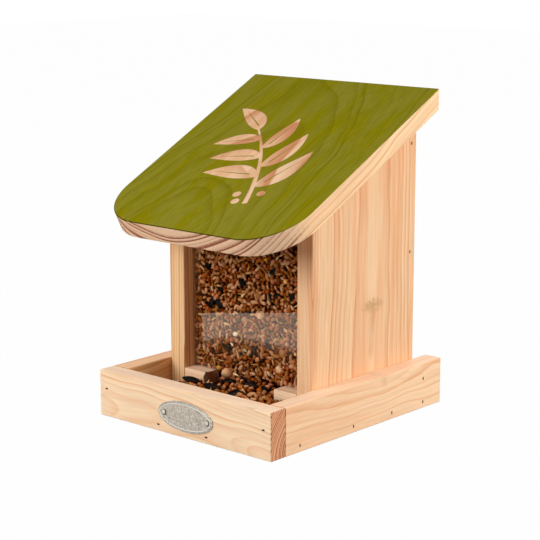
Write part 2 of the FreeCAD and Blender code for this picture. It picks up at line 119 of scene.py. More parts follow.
class Wiring:
    """Adds nodes to one tree and joins them in few words."""

    def __init__(self, tree: bpy.types.NodeTree) -> None:
        """Keep the tree that the nodes go into."""
        self.tree = tree

    def sockets(self, way: str, kinds: dict[str, str]) -> dict[str, str]:
        """Give a node group its named inputs or outputs.

        Args:
            way: INPUT or OUTPUT.
            kinds: The kind of each socket, by its name.

        Returns:
            The identifier of each socket, by its name.
        """
        identifiers = {}
        for name, kind in kinds.items():
            made = self.tree.interface.new_socket(name=name, in_out=way, socket_type="NodeSocket" + kind)
            identifiers[name] = made.identifier
        return identifiers

    def feed(self, node: bpy.types.Node, inputs: dict[Any, Any]) -> bpy.types.Node:
        """Feed a node's inputs, each by a link or with a plain value.

        Args:
            node: The node to feed.
            inputs: Another node's socket or a plain value for each input, by name or by number.

        Returns:
            The same node.
        """
        for name, value in inputs.items():
            if isinstance(value, Socket):
                self.tree.links.new(value, node.inputs[name])
            else:
                node.inputs[name].default_value = value
        return node

    def node(self, kind: str, inputs: dict[Any, Any] | None = None, **settings: Any) -> bpy.types.Node:
        """Add one node.

        Args:
            kind: Blender's name for the node type.
            inputs: What feeds its inputs, by name or by number.
            settings: The node's own settings.

        Returns:
            The new node.
        """
        made = self.tree.nodes.new(kind)
        for name, setting in settings.items():
            setattr(made, name, setting)
        return self.feed(made, inputs or {})

    def math(self, operation: str, *values: Any) -> Socket:
        """Add a Math node and return its result."""
        return self.node("ShaderNodeMath", dict(enumerate(values)), operation=operation).outputs[0]

    def plus(self, first: Any, second: Any) -> Socket:
        """Add two values."""
        return self.math("ADD", first, second)

    def times(self, result: Any, *factors: Any) -> Socket:
        """Multiply values, one after the other.

        Args:
            result: The first value.
            factors: The values to multiply it by.

        Returns:
            The product.
        """
        for factor in factors:
            result = self.math("MULTIPLY", result, factor)
        return result

    def flipped(self, share: Any) -> Socket:
        """Turn a share of 0 to 1 into what is left of 1."""
        return self.math("SUBTRACT", 1.0, share)

    def bell(self, distance: Any) -> Socket:
        """Fall off from 1 with distance, as a bell curve does."""
        return self.math("EXPONENT", self.times(distance, distance, -1.0))

    def vector(self, operation: str, *values: Any) -> Socket:
        """Add a Vector Math node.

        Args:
            operation: Blender's name for the operation.
            values: The inputs in order.

        Returns:
            The vector result, or the number where the operation gives one.
        """
        made = self.node("ShaderNodeVectorMath", dict(enumerate(values)), operation=operation)
        gives_number = operation in ("DOT_PRODUCT", "LENGTH", "DISTANCE")
        return made.outputs["Value" if gives_number else "Vector"]

    def scaled(self, vector: Any, amount: Any) -> Socket:
        """Make a vector longer or shorter by an amount."""
        inputs = {"Vector": vector, "Scale": amount}
        return self.node("ShaderNodeVectorMath", inputs, operation="SCALE").outputs["Vector"]

    def stretched(self, place: Any, across: float, along: float) -> Socket:
        """Shrink a place by a length across the grain and another one along it."""
        return self.vector("MULTIPLY", place, (1 / across, 1 / across, 1 / along))

    def xyz(self, *parts: Any) -> Socket:
        """Combine three values into a vector."""
        return self.node("ShaderNodeCombineXYZ", dict(enumerate(parts))).outputs["Vector"]

    def fade(self, value: Any, low: float, high: float) -> Socket:
        """Ease a value from 0 at low to 1 at high."""
        inputs = {"Value": value, "From Min": low, "From Max": high}
        return self.node("ShaderNodeMapRange", inputs, interpolation_type="SMOOTHSTEP").outputs["Result"]

    def spread(self, value: Any, low: float, high: float) -> Socket:
        """Spread a value of 0 to 1 between two levels."""
        inputs = {"Value": value, "To Min": low, "To Max": high}
        return self.node("ShaderNodeMapRange", inputs).outputs["Result"]

    def blend(self, share: Any, first: Any, second: Any, mode: str = "MIX") -> Socket:
        """Mix two colours.

        Args:
            share: How much of the second colour, 0 to 1.
            first: The colour below.
            second: The colour on top.
            mode: Blender's name for the way of mixing.

        Returns:
            The mixed colour.
        """
        # Inputs 6 and 7 and output 2 are the Mix node's sockets for colours.
        inputs = {0: share, 6: first, 7: second}
        return self.node("ShaderNodeMix", inputs, data_type="RGBA", blend_type=mode).outputs[2]

    def noise(self, place: Any, scale: float = 1.0, detail: float = 2.0, roughness: float = 0.5,
              output: str = "Fac") -> Socket:
        """Add a Noise Texture.

        Args:
            place: Where to read it.
            scale: How many waves one unit of length has.
            detail: How many finer waves ride on the broad ones.
            roughness: How strong the finer waves are.
            output: Fac for one number, Color for three.

        Returns:
            The noise, mostly between 0 and 1.
        """
        inputs = {"Vector": place, "Scale": scale, "Detail": detail, "Roughness": roughness}
        return self.node("ShaderNodeTexNoise", inputs).outputs[output]

    def attribute(self, name: str) -> Socket:
        """Read a number that the mesh stores under a name."""
        return self.node("ShaderNodeAttribute", attribute_name=name).outputs["Fac"]

    def relief(self, height: Any, strength: float, depth: float) -> Socket:
        """Raise the surface by a height, which is counted in depths, and return its normal."""
        inputs = {"Strength": strength, "Distance": depth, "Height": height}
        return self.node("ShaderNodeBump", inputs).outputs["Normal"]


def new_material(name: str) -> tuple[bpy.types.Material, Wiring, bpy.types.Node]:
    """Make a material that holds one Principled shader.

    Args:
        name: The material's name.

    Returns:
        The material, the wiring of its tree, and its shader.
    """
    material = bpy.data.materials.new(name)
    material.use_nodes = True
    material.node_tree.nodes.clear()
    wiring = Wiring(material.node_tree)
    shader = wiring.node("ShaderNodeBsdfPrincipled")
    wiring.node("ShaderNodeOutputMaterial", {"Surface": shader.outputs["BSDF"]})
    return material, wiring, shader


def new_piece(name: str, data: bpy.types.ID) -> bpy.types.Object:
    """Put a piece of the feeder or of the studio into the scene, at the origin.

    Args:
        name: The piece's name.
        data: Its mesh, lamp or camera.

    Returns:
        The new piece.
    """
    made = bpy.data.objects.new(name, data)
    bpy.context.scene.collection.objects.link(made)
    return made


def settled(work: bmesh.types.BMesh, name: str, *finishes: bpy.types.Material) -> bpy.types.Mesh:
    """Turn a mesh that is being worked on into a plain one.

    Args:
        work: The mesh being worked on, which is used up.
        name: The plain mesh's name.
        finishes: Its materials, in the order of their slots.

    Returns:
        The plain mesh.
    """
    mesh = bpy.data.meshes.new(name)
    work.to_mesh(mesh)
    work.free()
    for finish in finishes:
        mesh.materials.append(finish)
    return mesh


def band(work: bmesh.types.BMesh, outer: Ring, inner: Ring) -> list[bmesh.types.BMFace]:
    """Join two rings of points by a band of faces.

    Args:
        work: The mesh being worked on.
        outer: The points of one ring.
        inner: As many points of the other ring.

    Returns:
        The new faces.
    """
    made = []
    for number in range(len(outer)):
        after = (number + 1) % len(outer)
        made.append(work.faces.new((outer[number], outer[after], inner[after], inner[number])))
    return made


def keep_numbers(mesh: bpy.types.Mesh, name: str, numbers: Sequence[float]) -> bpy.types.Mesh:
    """Store one number for each point of a mesh under a name, and return the mesh."""
    mesh.attributes.new(name, "FLOAT", "POINT").data.foreach_set("value", numbers)
    return mesh


def dress(nodes: Iterable[str], material: bpy.types.Material) -> None:
    """Give CAD nodes one material.

    Args:
        nodes: Names of the nodes.
        material: What they are finished in.
    """
    for name in nodes:
        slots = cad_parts[name].data.materials
        slots.clear()
        slots.append(material)
        LOG.info("dressed %s in %s", name, material.name)


class GrainRun(Enum):
    """Which way a board's grain runs, as the turn that lays the local Z axis along it."""

    UPRIGHT = (0.0, 0.0, 0.0)
    ACROSS = (0.0, math.radians(90), 0.0)
    FRONT_TO_BACK = (math.radians(-90), 0.0, 0.0)
    UP_THE_ROOF = (ROOF_SLOPE - math.radians(90), 0.0, 0.0)

    @property
    def direction(self) -> Point3:
        """The unit vector along the grain."""
        return tuple(Euler(self.value).to_matrix() @ Vector((0, 0, 1)))


@dataclass
class PineGrain:
    """Year rings, fibres, blushes and a knot of a pine board, as one node group.

    Lengths are in millimetres about the pith. A patch has a length across the grain and one along it,
    and a pair of other values has a low end and a high end.
    """

    NAME = "pine_grain"
    INPUTS = {
        **dict.fromkeys(("Place", "Knot Place"), "Vector"),
        **dict.fromkeys(("End", "Ring", "Phase", "Wander", "Contrast", "Fibre", "Tone Length"), "Float"),
        **dict.fromkeys(("Knot Size", "Knot Bulge", "Knot Tint", "Knot Narrow"), "Float"),
        **dict.fromkeys(("Early Wood", "Late Wood", "Blush", "End Early Wood", "End Late Wood"), "Color"),
    }
    OUTPUTS = {"Colour": "Color", "Roughness": "Float", "Height": "Float"}

    fibre_patch: Point2 = (1.5, 45.0)
    streak_patch: Point2 = (2.4, 110.0)
    slow_bend_patch: Point2 = (70.0, 110.0)
    fast_bend_patch: Point2 = (40.0, 34.0)
    slow_bend: float = 4.0
    tone_width: float = 11.0
    blush_edge: Point2 = (0.4, 0.68)
    ring_change: float = 9.0
    ring_unevenness: float = 1.6
    late_wood_rise: float = 2.6
    late_wood_end: Point2 = (0.9, 1.0)
    late_wood_height: float = 0.6
    year_strength: Point2 = (0.2, 2.0)
    streak_strength: Point2 = (0.4, 1.6)
    fray_strength: Point2 = (0.2, 3.2)
    least_knot: float = 0.01
    knot_reach: float = 2.4
    knot_squash: float = 0.5
    knot_edge: Point2 = (0.2, 0.52)
    knot_colour: Colour = paint(200, 154, 108)
    roughness: Point2 = (0.5, 0.72)

    def __post_init__(self) -> None:
        """Start the group with its named inputs and outputs."""
        self.wiring = Wiring(bpy.data.node_groups.new(self.NAME, "ShaderNodeTree"))
        self.wiring.sockets("INPUT", self.INPUTS)
        self.wiring.sockets("OUTPUT", self.OUTPUTS)
        self.given = self.wiring.node("NodeGroupInput").outputs

    @classmethod
    def group(cls) -> bpy.types.NodeTree:
        """Build the group once and return it."""
        return bpy.data.node_groups.get(cls.NAME) or cls().build()

    def build(self) -> bpy.types.NodeTree:
        """Wire the group.

        Returns:
            The finished shader node group.
        """
        wiring = self.wiring
        bulge, knot = self.knot()
        bent = self.bent()
        late = self.rings(bent, bulge)
        fibre = wiring.noise(wiring.stretched(bent, *self.fibre_patch), detail=4.0)
        wiring.node("NodeGroupOutput", {
            "Colour": self.colour(bent, late, fibre, knot),
            "Roughness": wiring.spread(fibre, *self.roughness),
            "Height": wiring.plus(wiring.times(late, self.late_wood_height), fibre),
        })
        return wiring.tree

    def knot(self) -> tuple[Socket, Socket]:
        """Wire the branch that crosses the rings.

        Returns:
            How far the rings bulge round the branch, and the mask of the knot itself.
        """
        wiring, given = self.wiring, self.given
        size = given["Knot Size"]
        away = wiring.vector("SUBTRACT", given["Place"], given["Knot Place"])
        branch = wiring.vector("NORMALIZE", wiring.vector("MULTIPLY", given["Knot Place"], ACROSS_GRAIN))
        outward = wiring.scaled(branch, wiring.vector("DOT_PRODUCT", away, branch))
        beside = wiring.vector("SUBTRACT", away, outward)
        distance = wiring.vector("LENGTH", wiring.vector("MULTIPLY", beside, (1.0, 1.0, self.knot_squash)))
        reach = wiring.plus(wiring.times(size, self.knot_reach), self.least_knot)
        bulge = wiring.times(wiring.bell(wiring.math("DIVIDE", distance, reach)), given["Knot Bulge"])
        narrow = wiring.xyz(1.0, 1.0, given["Knot Narrow"])
        across = wiring.vector("LENGTH", wiring.vector("MULTIPLY", beside, narrow))
        spot = wiring.bell(wiring.math("DIVIDE", across, wiring.plus(size, self.least_knot)))
        ragged = wiring.noise(given["Place"], scale=0.3, detail=3.0, roughness=0.65)
        return bulge, wiring.fade(wiring.times(ragged, spot), *self.knot_edge)

    def bent(self) -> Socket:
        """Bend straight wood a little, as a trunk grows.

        Returns:
            The place in the bent wood.
        """
        wiring = self.wiring
        place = self.given["Place"]
        slow = wiring.noise(wiring.stretched(place, *self.slow_bend_patch), detail=0.0, output="Color")
        fast = wiring.noise(wiring.stretched(place, *self.fast_bend_patch), detail=0.0, output="Color")
        slow = wiring.vector("MULTIPLY", slow, (self.slow_bend, self.slow_bend, 0.0))
        middle = NOISE_MIDDLE * (self.slow_bend + 1)
        shift = wiring.vector("SUBTRACT", wiring.vector("ADD", slow, fast), (middle, middle, NOISE_MIDDLE))
        return wiring.vector("ADD", place, wiring.scaled(shift, self.given["Wander"]))

    def rings(self, bent: Socket, bulge: Socket) -> Socket:
        """Wire the year rings about the pith.

        Args:
            bent: The place in the bent wood.
            bulge: How far a knot pushes the rings out.

        Returns:
            How much late wood there is, from 0 to above 1 in a strong year.
        """
        wiring, given = self.wiring, self.given
        flat = wiring.vector("MULTIPLY", bent, ACROSS_GRAIN)
        radius = wiring.math("SUBTRACT", wiring.vector("LENGTH", flat), bulge)
        inputs = {"W": wiring.math("DIVIDE", radius, self.ring_change), "Scale": 1.0, "Detail": 1.0}
        width = wiring.node("ShaderNodeTexNoise", inputs, noise_dimensions="1D").outputs["Fac"]
        uneven = wiring.plus(wiring.times(width, self.ring_unevenness), given["Phase"])
        turn = wiring.plus(wiring.math("DIVIDE", radius, given["Ring"]), uneven)
        year = wiring.math("FRACT", turn)
        rise = wiring.math("POWER", year, self.late_wood_rise)
        late = wiring.times(rise, wiring.flipped(wiring.fade(year, *self.late_wood_end)))
        inputs = {"W": wiring.math("FLOOR", turn)}
        strong = wiring.node("ShaderNodeTexWhiteNoise", inputs, noise_dimensions="1D").outputs["Value"]
        return wiring.times(late, wiring.spread(strong, *self.year_strength))

    def colour(self, bent: Socket, late: Socket, fibre: Socket, knot: Socket) -> Socket:
        """Wire the wood's colour.

        Args:
            bent: The place in the bent wood.
            late: How much late wood there is.
            fibre: Fine streaks, 0 to 1.
            knot: The mask of the knot.

        Returns:
            The colour of the bare or stained wood.
        """
        wiring, given = self.wiring, self.given
        patch = wiring.xyz(self.tone_width, self.tone_width, given["Tone Length"])
        tone = wiring.noise(wiring.vector("DIVIDE", bent, patch), detail=3.0)
        wood = wiring.blend(wiring.fade(tone, *self.blush_edge), given["Early Wood"], given["Blush"])
        streak = wiring.noise(wiring.stretched(bent, *self.streak_patch), detail=2.0)
        lines = wiring.times(late, wiring.spread(streak, *self.streak_strength), given["Contrast"])
        wood = wiring.blend(wiring.math("MINIMUM", lines, 1.0), wood, given["Late Wood"])
        wood = wiring.blend(wiring.times(knot, given["Knot Tint"]), wood, self.knot_colour)
        fray = wiring.spread(wiring.noise(given["Place"], scale=1.1, detail=1.0), *self.fray_strength)
        rings = wiring.math("MINIMUM", wiring.times(late, fray), 1.0)
        end_wood = wiring.blend(rings, given["End Early Wood"], given["End Late Wood"])
        wood = wiring.blend(given["End"], wood, end_wood)
        swing = wiring.times(wiring.math("SUBTRACT", fibre, NOISE_MIDDLE), given["Fibre"])
        level = wiring.plus(1.0, swing)
        shade = wiring.node("ShaderNodeCombineColor", dict.fromkeys(range(3), level)).outputs["Color"]
        return wiring.blend(1.0, wood, shade, "MULTIPLY")


@dataclass(frozen=True)
class PineFinish:
    """Bare or stained pine of one board, cut from its own place in a trunk.

    Places and lengths are in millimetres in the feeder's frame, and the lean is in degrees.
    """

    name: str
    grain: GrainRun
    pith: Point3
    lean: Point3 = (0.0, 0.0, 0.0)
    ring: float = 3.2
    wander: float = 2.0
    contrast: float = 0.7
    fibre: float = 0.3
    tone_length: float = 200.0
    phase: float = 0.0
    knot: Point3 = (0.0, 0.0, 0.0)
    knot_size: float = 0.0
    knot_bulge: float = 0.0
    knot_tint: float = 0.7
    knot_narrow: float = 1.0
    early_wood: Colour = paint(248, 208, 166)
    late_wood: Colour = paint(228, 162, 112)
    blush: Colour = paint(242, 190, 146)
    end_early_wood: Colour = paint(228, 170, 128)
    end_late_wood: Colour = paint(176, 108, 70)
    end_edge: Point2 = (0.15, 0.65)
    relief_strength: float = 0.35
    relief_depth: float = 0.1
    gloss: float = 0.08
    sheen: float = 0.12

    @property
    def turn(self) -> Euler:
        """The turn that lays the local Z axis along the pith, which may lean out of the board."""
        lean = [math.radians(angle) for angle in self.lean]
        return Euler(Vector(self.grain.value) + Vector(lean))

    def local(self, place: Point3) -> Point3:
        """Turn a place in the feeder into one about the pith, in millimetres."""
        return tuple(self.turn.to_matrix().transposed() @ (Vector(place) - Vector(self.pith)))

    def material(self) -> bpy.types.Material:
        """Build the board's material.

        Returns:
            The new material.
        """
        material, wiring, shader = new_material(self.name)
        where = wiring.node("ShaderNodeTexCoord").outputs
        about_pith = wiring.node("ShaderNodeMapping", {
            "Vector": where["Object"],
            "Location": [value * MM for value in self.pith],
            "Rotation": self.turn,
            "Scale": (MM, MM, MM),
        }, vector_type="TEXTURE")
        along = wiring.vector("DOT_PRODUCT", where["Normal"], self.grain.direction)
        fed = {
            "Place": about_pith.outputs["Vector"],
            "End": wiring.fade(wiring.math("ABSOLUTE", along), *self.end_edge),
            "Knot Place": self.local(self.knot),
        }
        for name in PineGrain.INPUTS:
            if name not in fed:
                fed[name] = getattr(self, name.lower().replace(" ", "_"))
        wood = wiring.node("ShaderNodeGroup", fed, node_tree=PineGrain.group()).outputs
        wiring.feed(shader, {
            "Base Color": wood["Colour"],
            "Roughness": wood["Roughness"],
            "Normal": wiring.relief(wood["Height"], self.relief_strength, self.relief_depth * MM),
            "Specular IOR Level": self.gloss,
            "Sheen Weight": self.sheen,
        })
        return material


@dataclass(frozen=True)
class MetalFinish:
    """Dull plated or galvanised metal with a mottled skin."""

    name: str
    light: Colour
    dark: Colour
    metallic: float
    smooth: float
    rough: float
    patch: float = 1.0 * MM
    spangle_strength: float = 0.4
    clouds_per_patch: float = 0.6
    cloud_edge: Point2 = (0.25, 0.85)
    dent: float = 0.05 * MM
    dent_strength: float = 0.5
    gloss: float = 0.5
    worn: Colour = paint(244, 240, 230)
    grime: Colour = paint(66, 56, 44)
    grime_reach: float = 3.0 * MM
    grime_core: float = 0.55
    grime_spots: tuple[Point3, ...] = ()

    def material(self) -> bpy.types.Material:
        """Build the metal's material.

        Returns:
            The new material.
        """
        material, wiring, shader = new_material(self.name)
        place = wiring.node("ShaderNodeTexCoord").outputs["Object"]
        crystal = wiring.node("ShaderNodeTexVoronoi", {"Vector": place, "Scale": 1 / self.patch})
        spangle = wiring.node("ShaderNodeSeparateColor", {0: crystal.outputs["Color"]}).outputs[0]
        cloud = wiring.noise(place, scale=self.clouds_per_patch / self.patch, detail=4.0, roughness=0.65)
        spangle = wiring.times(spangle, self.spangle_strength)
        mottle = wiring.plus(spangle, wiring.fade(cloud, *self.cloud_edge))
        skin = wiring.blend(mottle, self.dark, self.light)
        # Pale colour for wear and a painted highlight, where the mesh stores it on the badge's crest and
        # edge.
        skin = wiring.blend(wiring.attribute("wear"), skin, self.worn)
        # Painted shadow: darker round each of the badge's nails.
        for spot in self.grime_spots:
            away = wiring.vector("DISTANCE", place, spot)
            out_of_nail_shadow = wiring.fade(away, self.grime_reach * self.grime_core, self.grime_reach)
            skin = wiring.blend(out_of_nail_shadow, self.grime, skin)
        wiring.feed(shader, {
            "Base Color": skin,
            "Roughness": wiring.spread(mottle, self.rough, self.smooth),
            "Normal": wiring.relief(cloud, self.dent_strength, self.dent),
            "Metallic": self.metallic,
            "Specular IOR Level": self.gloss,
        })
        return material


@dataclass(frozen=True)
class AcrylicFinish:
    """Clear acrylic sheet with faint wiping marks."""

    name: str = "clear_acrylic_sheet"
    refraction: float = 1.49
    smear: float = 0.04
    wipe_patch: Point2 = (4 * MM, 30 * MM)
    wipe_edge: Point2 = (0.5, 0.8)

    def material(self) -> bpy.types.Material:
        """Build the sheet's material, which lets lamps and soft light through.

        Returns:
            The new material.
        """
        material, wiring, shader = new_material(self.name)
        place = wiring.node("ShaderNodeTexCoord").outputs["Object"]
        wiped = wiring.noise(wiring.stretched(place, *self.wipe_patch), detail=3.0)
        path = wiring.node("ShaderNodeLightPath").outputs
        let_by = wiring.math("MAXIMUM", path["Is Shadow Ray"], path["Is Diffuse Ray"])
        wiring.feed(shader, {
            "Roughness": wiring.spread(wiring.fade(wiped, *self.wipe_edge), 0.0, self.smear),
            "Alpha": wiring.flipped(let_by),
            "Transmission Weight": 1.0,
            "IOR": self.refraction,
        })
        return material


@dataclass(frozen=True)
class SeedKind:
    """One kind of seed in the mix, with sizes in millimetres."""

    name: str
    length: float
    width: float
    thickness: float
    colour: Colour
    mark: Colour
    silo_share: float
    tray_share: float
    blunt: float = 0.5
    lean: float = 1.0
    sides: int = 7
    rings: int = 3
    crease: int = 0
    lumps: float = 0.0
    lumps_round: int = 3
    lumps_twist: int = 2
    smooth: bool = True

    @staticmethod
    def number(name: str) -> int:
        """Number of a kind in the mix, by its name."""
        return [kind.name for kind in SEED_KINDS].index(name)

    def mesh(self) -> bpy.types.Mesh:
        """Turn the seed's outline about its length.

        Returns:
            A closed mesh whose length lies along X, with its creases as an attribute.
        """
        points = [(-self.length / 2 * MM, 0.0, 0.0)]
        marks = [0.0]
        for ring in range(1, self.rings + 1):
            share = (ring / (self.rings + 1)) ** self.lean
            swell = math.sin(math.pi * share) ** self.blunt
            for side in range(self.sides):
                turn = 2 * math.pi * side / self.sides
                bulge = swell * (1 + self.lumps * math.sin(self.lumps_round * turn + self.lumps_twist * ring))
                across = math.cos(turn) * bulge * self.width / 2
                above = math.sin(turn) * bulge * self.thickness / 2
                points.append(((share - 0.5) * self.length * MM, across * MM, above * MM))
                marks.append(1.0 if self.crease and side % self.crease == 0 else 0.0)
        points.append((self.length / 2 * MM, 0.0, 0.0))
        marks.append(0.0)
        mesh = bpy.data.meshes.new(self.name)
        mesh.from_pydata(points, [], self.faces())
        return keep_numbers(mesh, "seed_mark", marks)

    def faces(self) -> list[list[int]]:
        """Join the rings of points, and close both ends.

        Returns:
            The faces, wound outwards.
        """
        last = 1 + self.sides * self.rings
        top = last - self.sides
        made = []
        for side in range(self.sides):
            after = (side + 1) % self.sides
            made.append([0, 1 + after, 1 + side])
            for low in range(1, top, self.sides):
                high = low + self.sides
                made.append([low + side, low + after, high + after, high + side])
            made.append([top + side, top + after, last])
        return made


SEED_KINDS = (
    SeedKind(
        "milo", length=4.2, width=4.1, thickness=3.8, sides=8,
        silo_share=27, tray_share=32, colour=paint(176, 98, 54), mark=paint(106, 48, 22)),
    SeedKind(
        "red_millet", length=2.9, width=2.7, thickness=2.5,
        silo_share=26, tray_share=6, colour=paint(176, 102, 58), mark=paint(120, 58, 28)),
    SeedKind(
        "wheat", length=6.4, width=3.3, thickness=3.0, blunt=0.45, lean=1.1, rings=4, crease=7,
        silo_share=32, tray_share=38, colour=paint(184, 127, 84), mark=paint(92, 46, 24)),
    SeedKind(
        "oat", length=8.0, width=2.7, thickness=2.2, blunt=0.75, lean=1.1, sides=6, rings=4, crease=3,
        silo_share=7, tray_share=4, colour=paint(198, 146, 94), mark=paint(130, 78, 42)),
    # Hemp's dark colour, at its darkest tint, also colours the core of each heap as painted shade between the
    # seeds.
    SeedKind(
        "hemp", length=3.4, width=2.9, thickness=2.6,
        silo_share=6, tray_share=5, colour=paint(92, 48, 26), mark=paint(48, 24, 12)),
    SeedKind(
        "sunflower", length=12.5, width=6.0, thickness=3.8, blunt=0.72, lean=1.25, sides=8, rings=4, crease=4,
        silo_share=1.6, tray_share=0.8, colour=paint(14, 8, 6), mark=paint(30, 22, 18)),
    SeedKind(
        "straw", length=10.0, width=1.1, thickness=0.9, blunt=0.25, sides=5,
        silo_share=4.0, tray_share=3.0, colour=paint(214, 168, 110), mark=paint(160, 116, 70)),
    SeedKind(
        "cracked_maize", length=5.6, width=4.2, thickness=3.0, blunt=0.35, lean=1.2, sides=5, rings=2,
        crease=3, silo_share=0.6, tray_share=0.6, colour=paint(222, 156, 56), mark=paint(238, 212, 156)),
    SeedKind(
        "kernel", length=7.6, width=4.0, thickness=2.6, blunt=0.7, lean=1.2,
        silo_share=0.5, tray_share=0.3, colour=paint(226, 200, 158), mark=paint(190, 156, 112)),
    SeedKind(
        "pea", length=7.4, width=7.2, thickness=7.0, sides=8, rings=4,
        silo_share=0.2, tray_share=0.0, colour=paint(200, 148, 106), mark=paint(150, 100, 64)),
    SeedKind(
        "dried_fruit", length=12.5, width=9.0, thickness=9.0, blunt=0.25, rings=4, lumps=0.2, smooth=False,
        silo_share=0.0, tray_share=0.0, colour=paint(66, 32, 15), mark=paint(30, 13, 7)),
)


@dataclass(frozen=True)
class SeedFinish:
    """Husk of the mixed seed, coloured by each seed's own kind and tint, with painted shade that darkens it
    deep in the heap.

    A pair named for a tint runs from the darkest seed to the palest one, and a pair named for painted
    shade from the outside of the heap inwards.
    """

    name: str = "mixed_seed"
    depth_edge: Point2 = (0.3 * MM, 5.5 * MM)
    tint_value: Point2 = (0.46, 1.34)
    depth_value: Point2 = (1.35, 0.3)
    tint_richness: Point2 = (1.22, 0.86)
    depth_richness: Point2 = (1.0, 1.35)
    tint_hue: Point2 = (0.489, 0.505)
    depth_hue: Point2 = (0.0, 0.016)
    hue_cycles: float = 7.0
    cycle_hue: Point2 = (0.0, 0.01)
    speck: float = 0.8 * MM
    fleck_edge: Point2 = (0.5, 0.75)
    fleck_strength: float = 0.35
    roughness: Point2 = (0.22, 0.45)
    bump: float = 0.15 * MM
    bump_strength: float = 0.4
    gloss: float = 0.15

    def by_kind(self, wiring: Wiring, kind: Any, colours: Sequence[Colour]) -> Socket:
        """Pick a colour by the number of a seed's kind.

        Args:
            wiring: The material's wiring.
            kind: The share of the way through the kinds.
            colours: One colour for each kind.

        Returns:
            The picked colour.
        """
        ramp = wiring.node("ShaderNodeValToRGB", {"Fac": kind})
        stops = ramp.color_ramp
        stops.interpolation = "CONSTANT"
        for number, colour in enumerate(colours):
            stop = stops.elements[0] if number == 0 else stops.elements.new(number / len(colours))
            stop.color = colour
        stops.elements.remove(stops.elements[-1])
        return ramp.outputs["Color"]

    def material(self) -> bpy.types.Material:
        """Build the husk's material.

        Returns:
            The new material.
        """
        material, wiring, shader = new_material(self.name)
        tint = wiring.attribute("seed_tint")
        # Painted shade: seed is darker, richer and redder the deeper it lies in the heap.
        deep = wiring.fade(wiring.attribute("seed_depth"), *self.depth_edge)
        middle = wiring.plus(wiring.attribute("seed_kind"), 0.5)
        kind = wiring.math("DIVIDE", middle, float(len(SEED_KINDS)))
        body = self.by_kind(wiring, kind, [seed.colour for seed in SEED_KINDS])
        mark = self.by_kind(wiring, kind, [seed.mark for seed in SEED_KINDS])
        value = wiring.times(wiring.spread(tint, *self.tint_value), wiring.spread(deep, *self.depth_value))
        richness = wiring.times(
            wiring.spread(tint, *self.tint_richness), wiring.spread(deep, *self.depth_richness))
        cycle = wiring.math("FRACT", wiring.times(tint, self.hue_cycles))
        hue = wiring.plus(wiring.spread(tint, *self.tint_hue), wiring.spread(cycle, *self.cycle_hue))
        husk = wiring.node("ShaderNodeHueSaturation", {
            "Color": wiring.blend(wiring.attribute("seed_mark"), body, mark),
            "Value": value,
            "Saturation": richness,
            "Hue": wiring.math("SUBTRACT", hue, wiring.spread(deep, *self.depth_hue)),
        }).outputs["Color"]
        place = wiring.node("ShaderNodeTexCoord").outputs["Object"]
        speck = wiring.noise(place, scale=1 / self.speck, detail=3.0, roughness=0.6)
        fleck = wiring.times(wiring.fade(speck, *self.fleck_edge), self.fleck_strength)
        wiring.feed(shader, {
            "Base Color": wiring.blend(fleck, husk, mark),
            "Roughness": wiring.spread(speck, *self.roughness),
            "Normal": wiring.relief(speck, self.bump_strength, self.bump),
            "Specular IOR Level": self.gloss,
        })
        return material


class SeedDraw(Enum):
    """What is drawn for each seed, as the number that tells one draw from the others."""

    KIND = 1
    TINT = 2
    TURN = 3
    GROWTH = 4


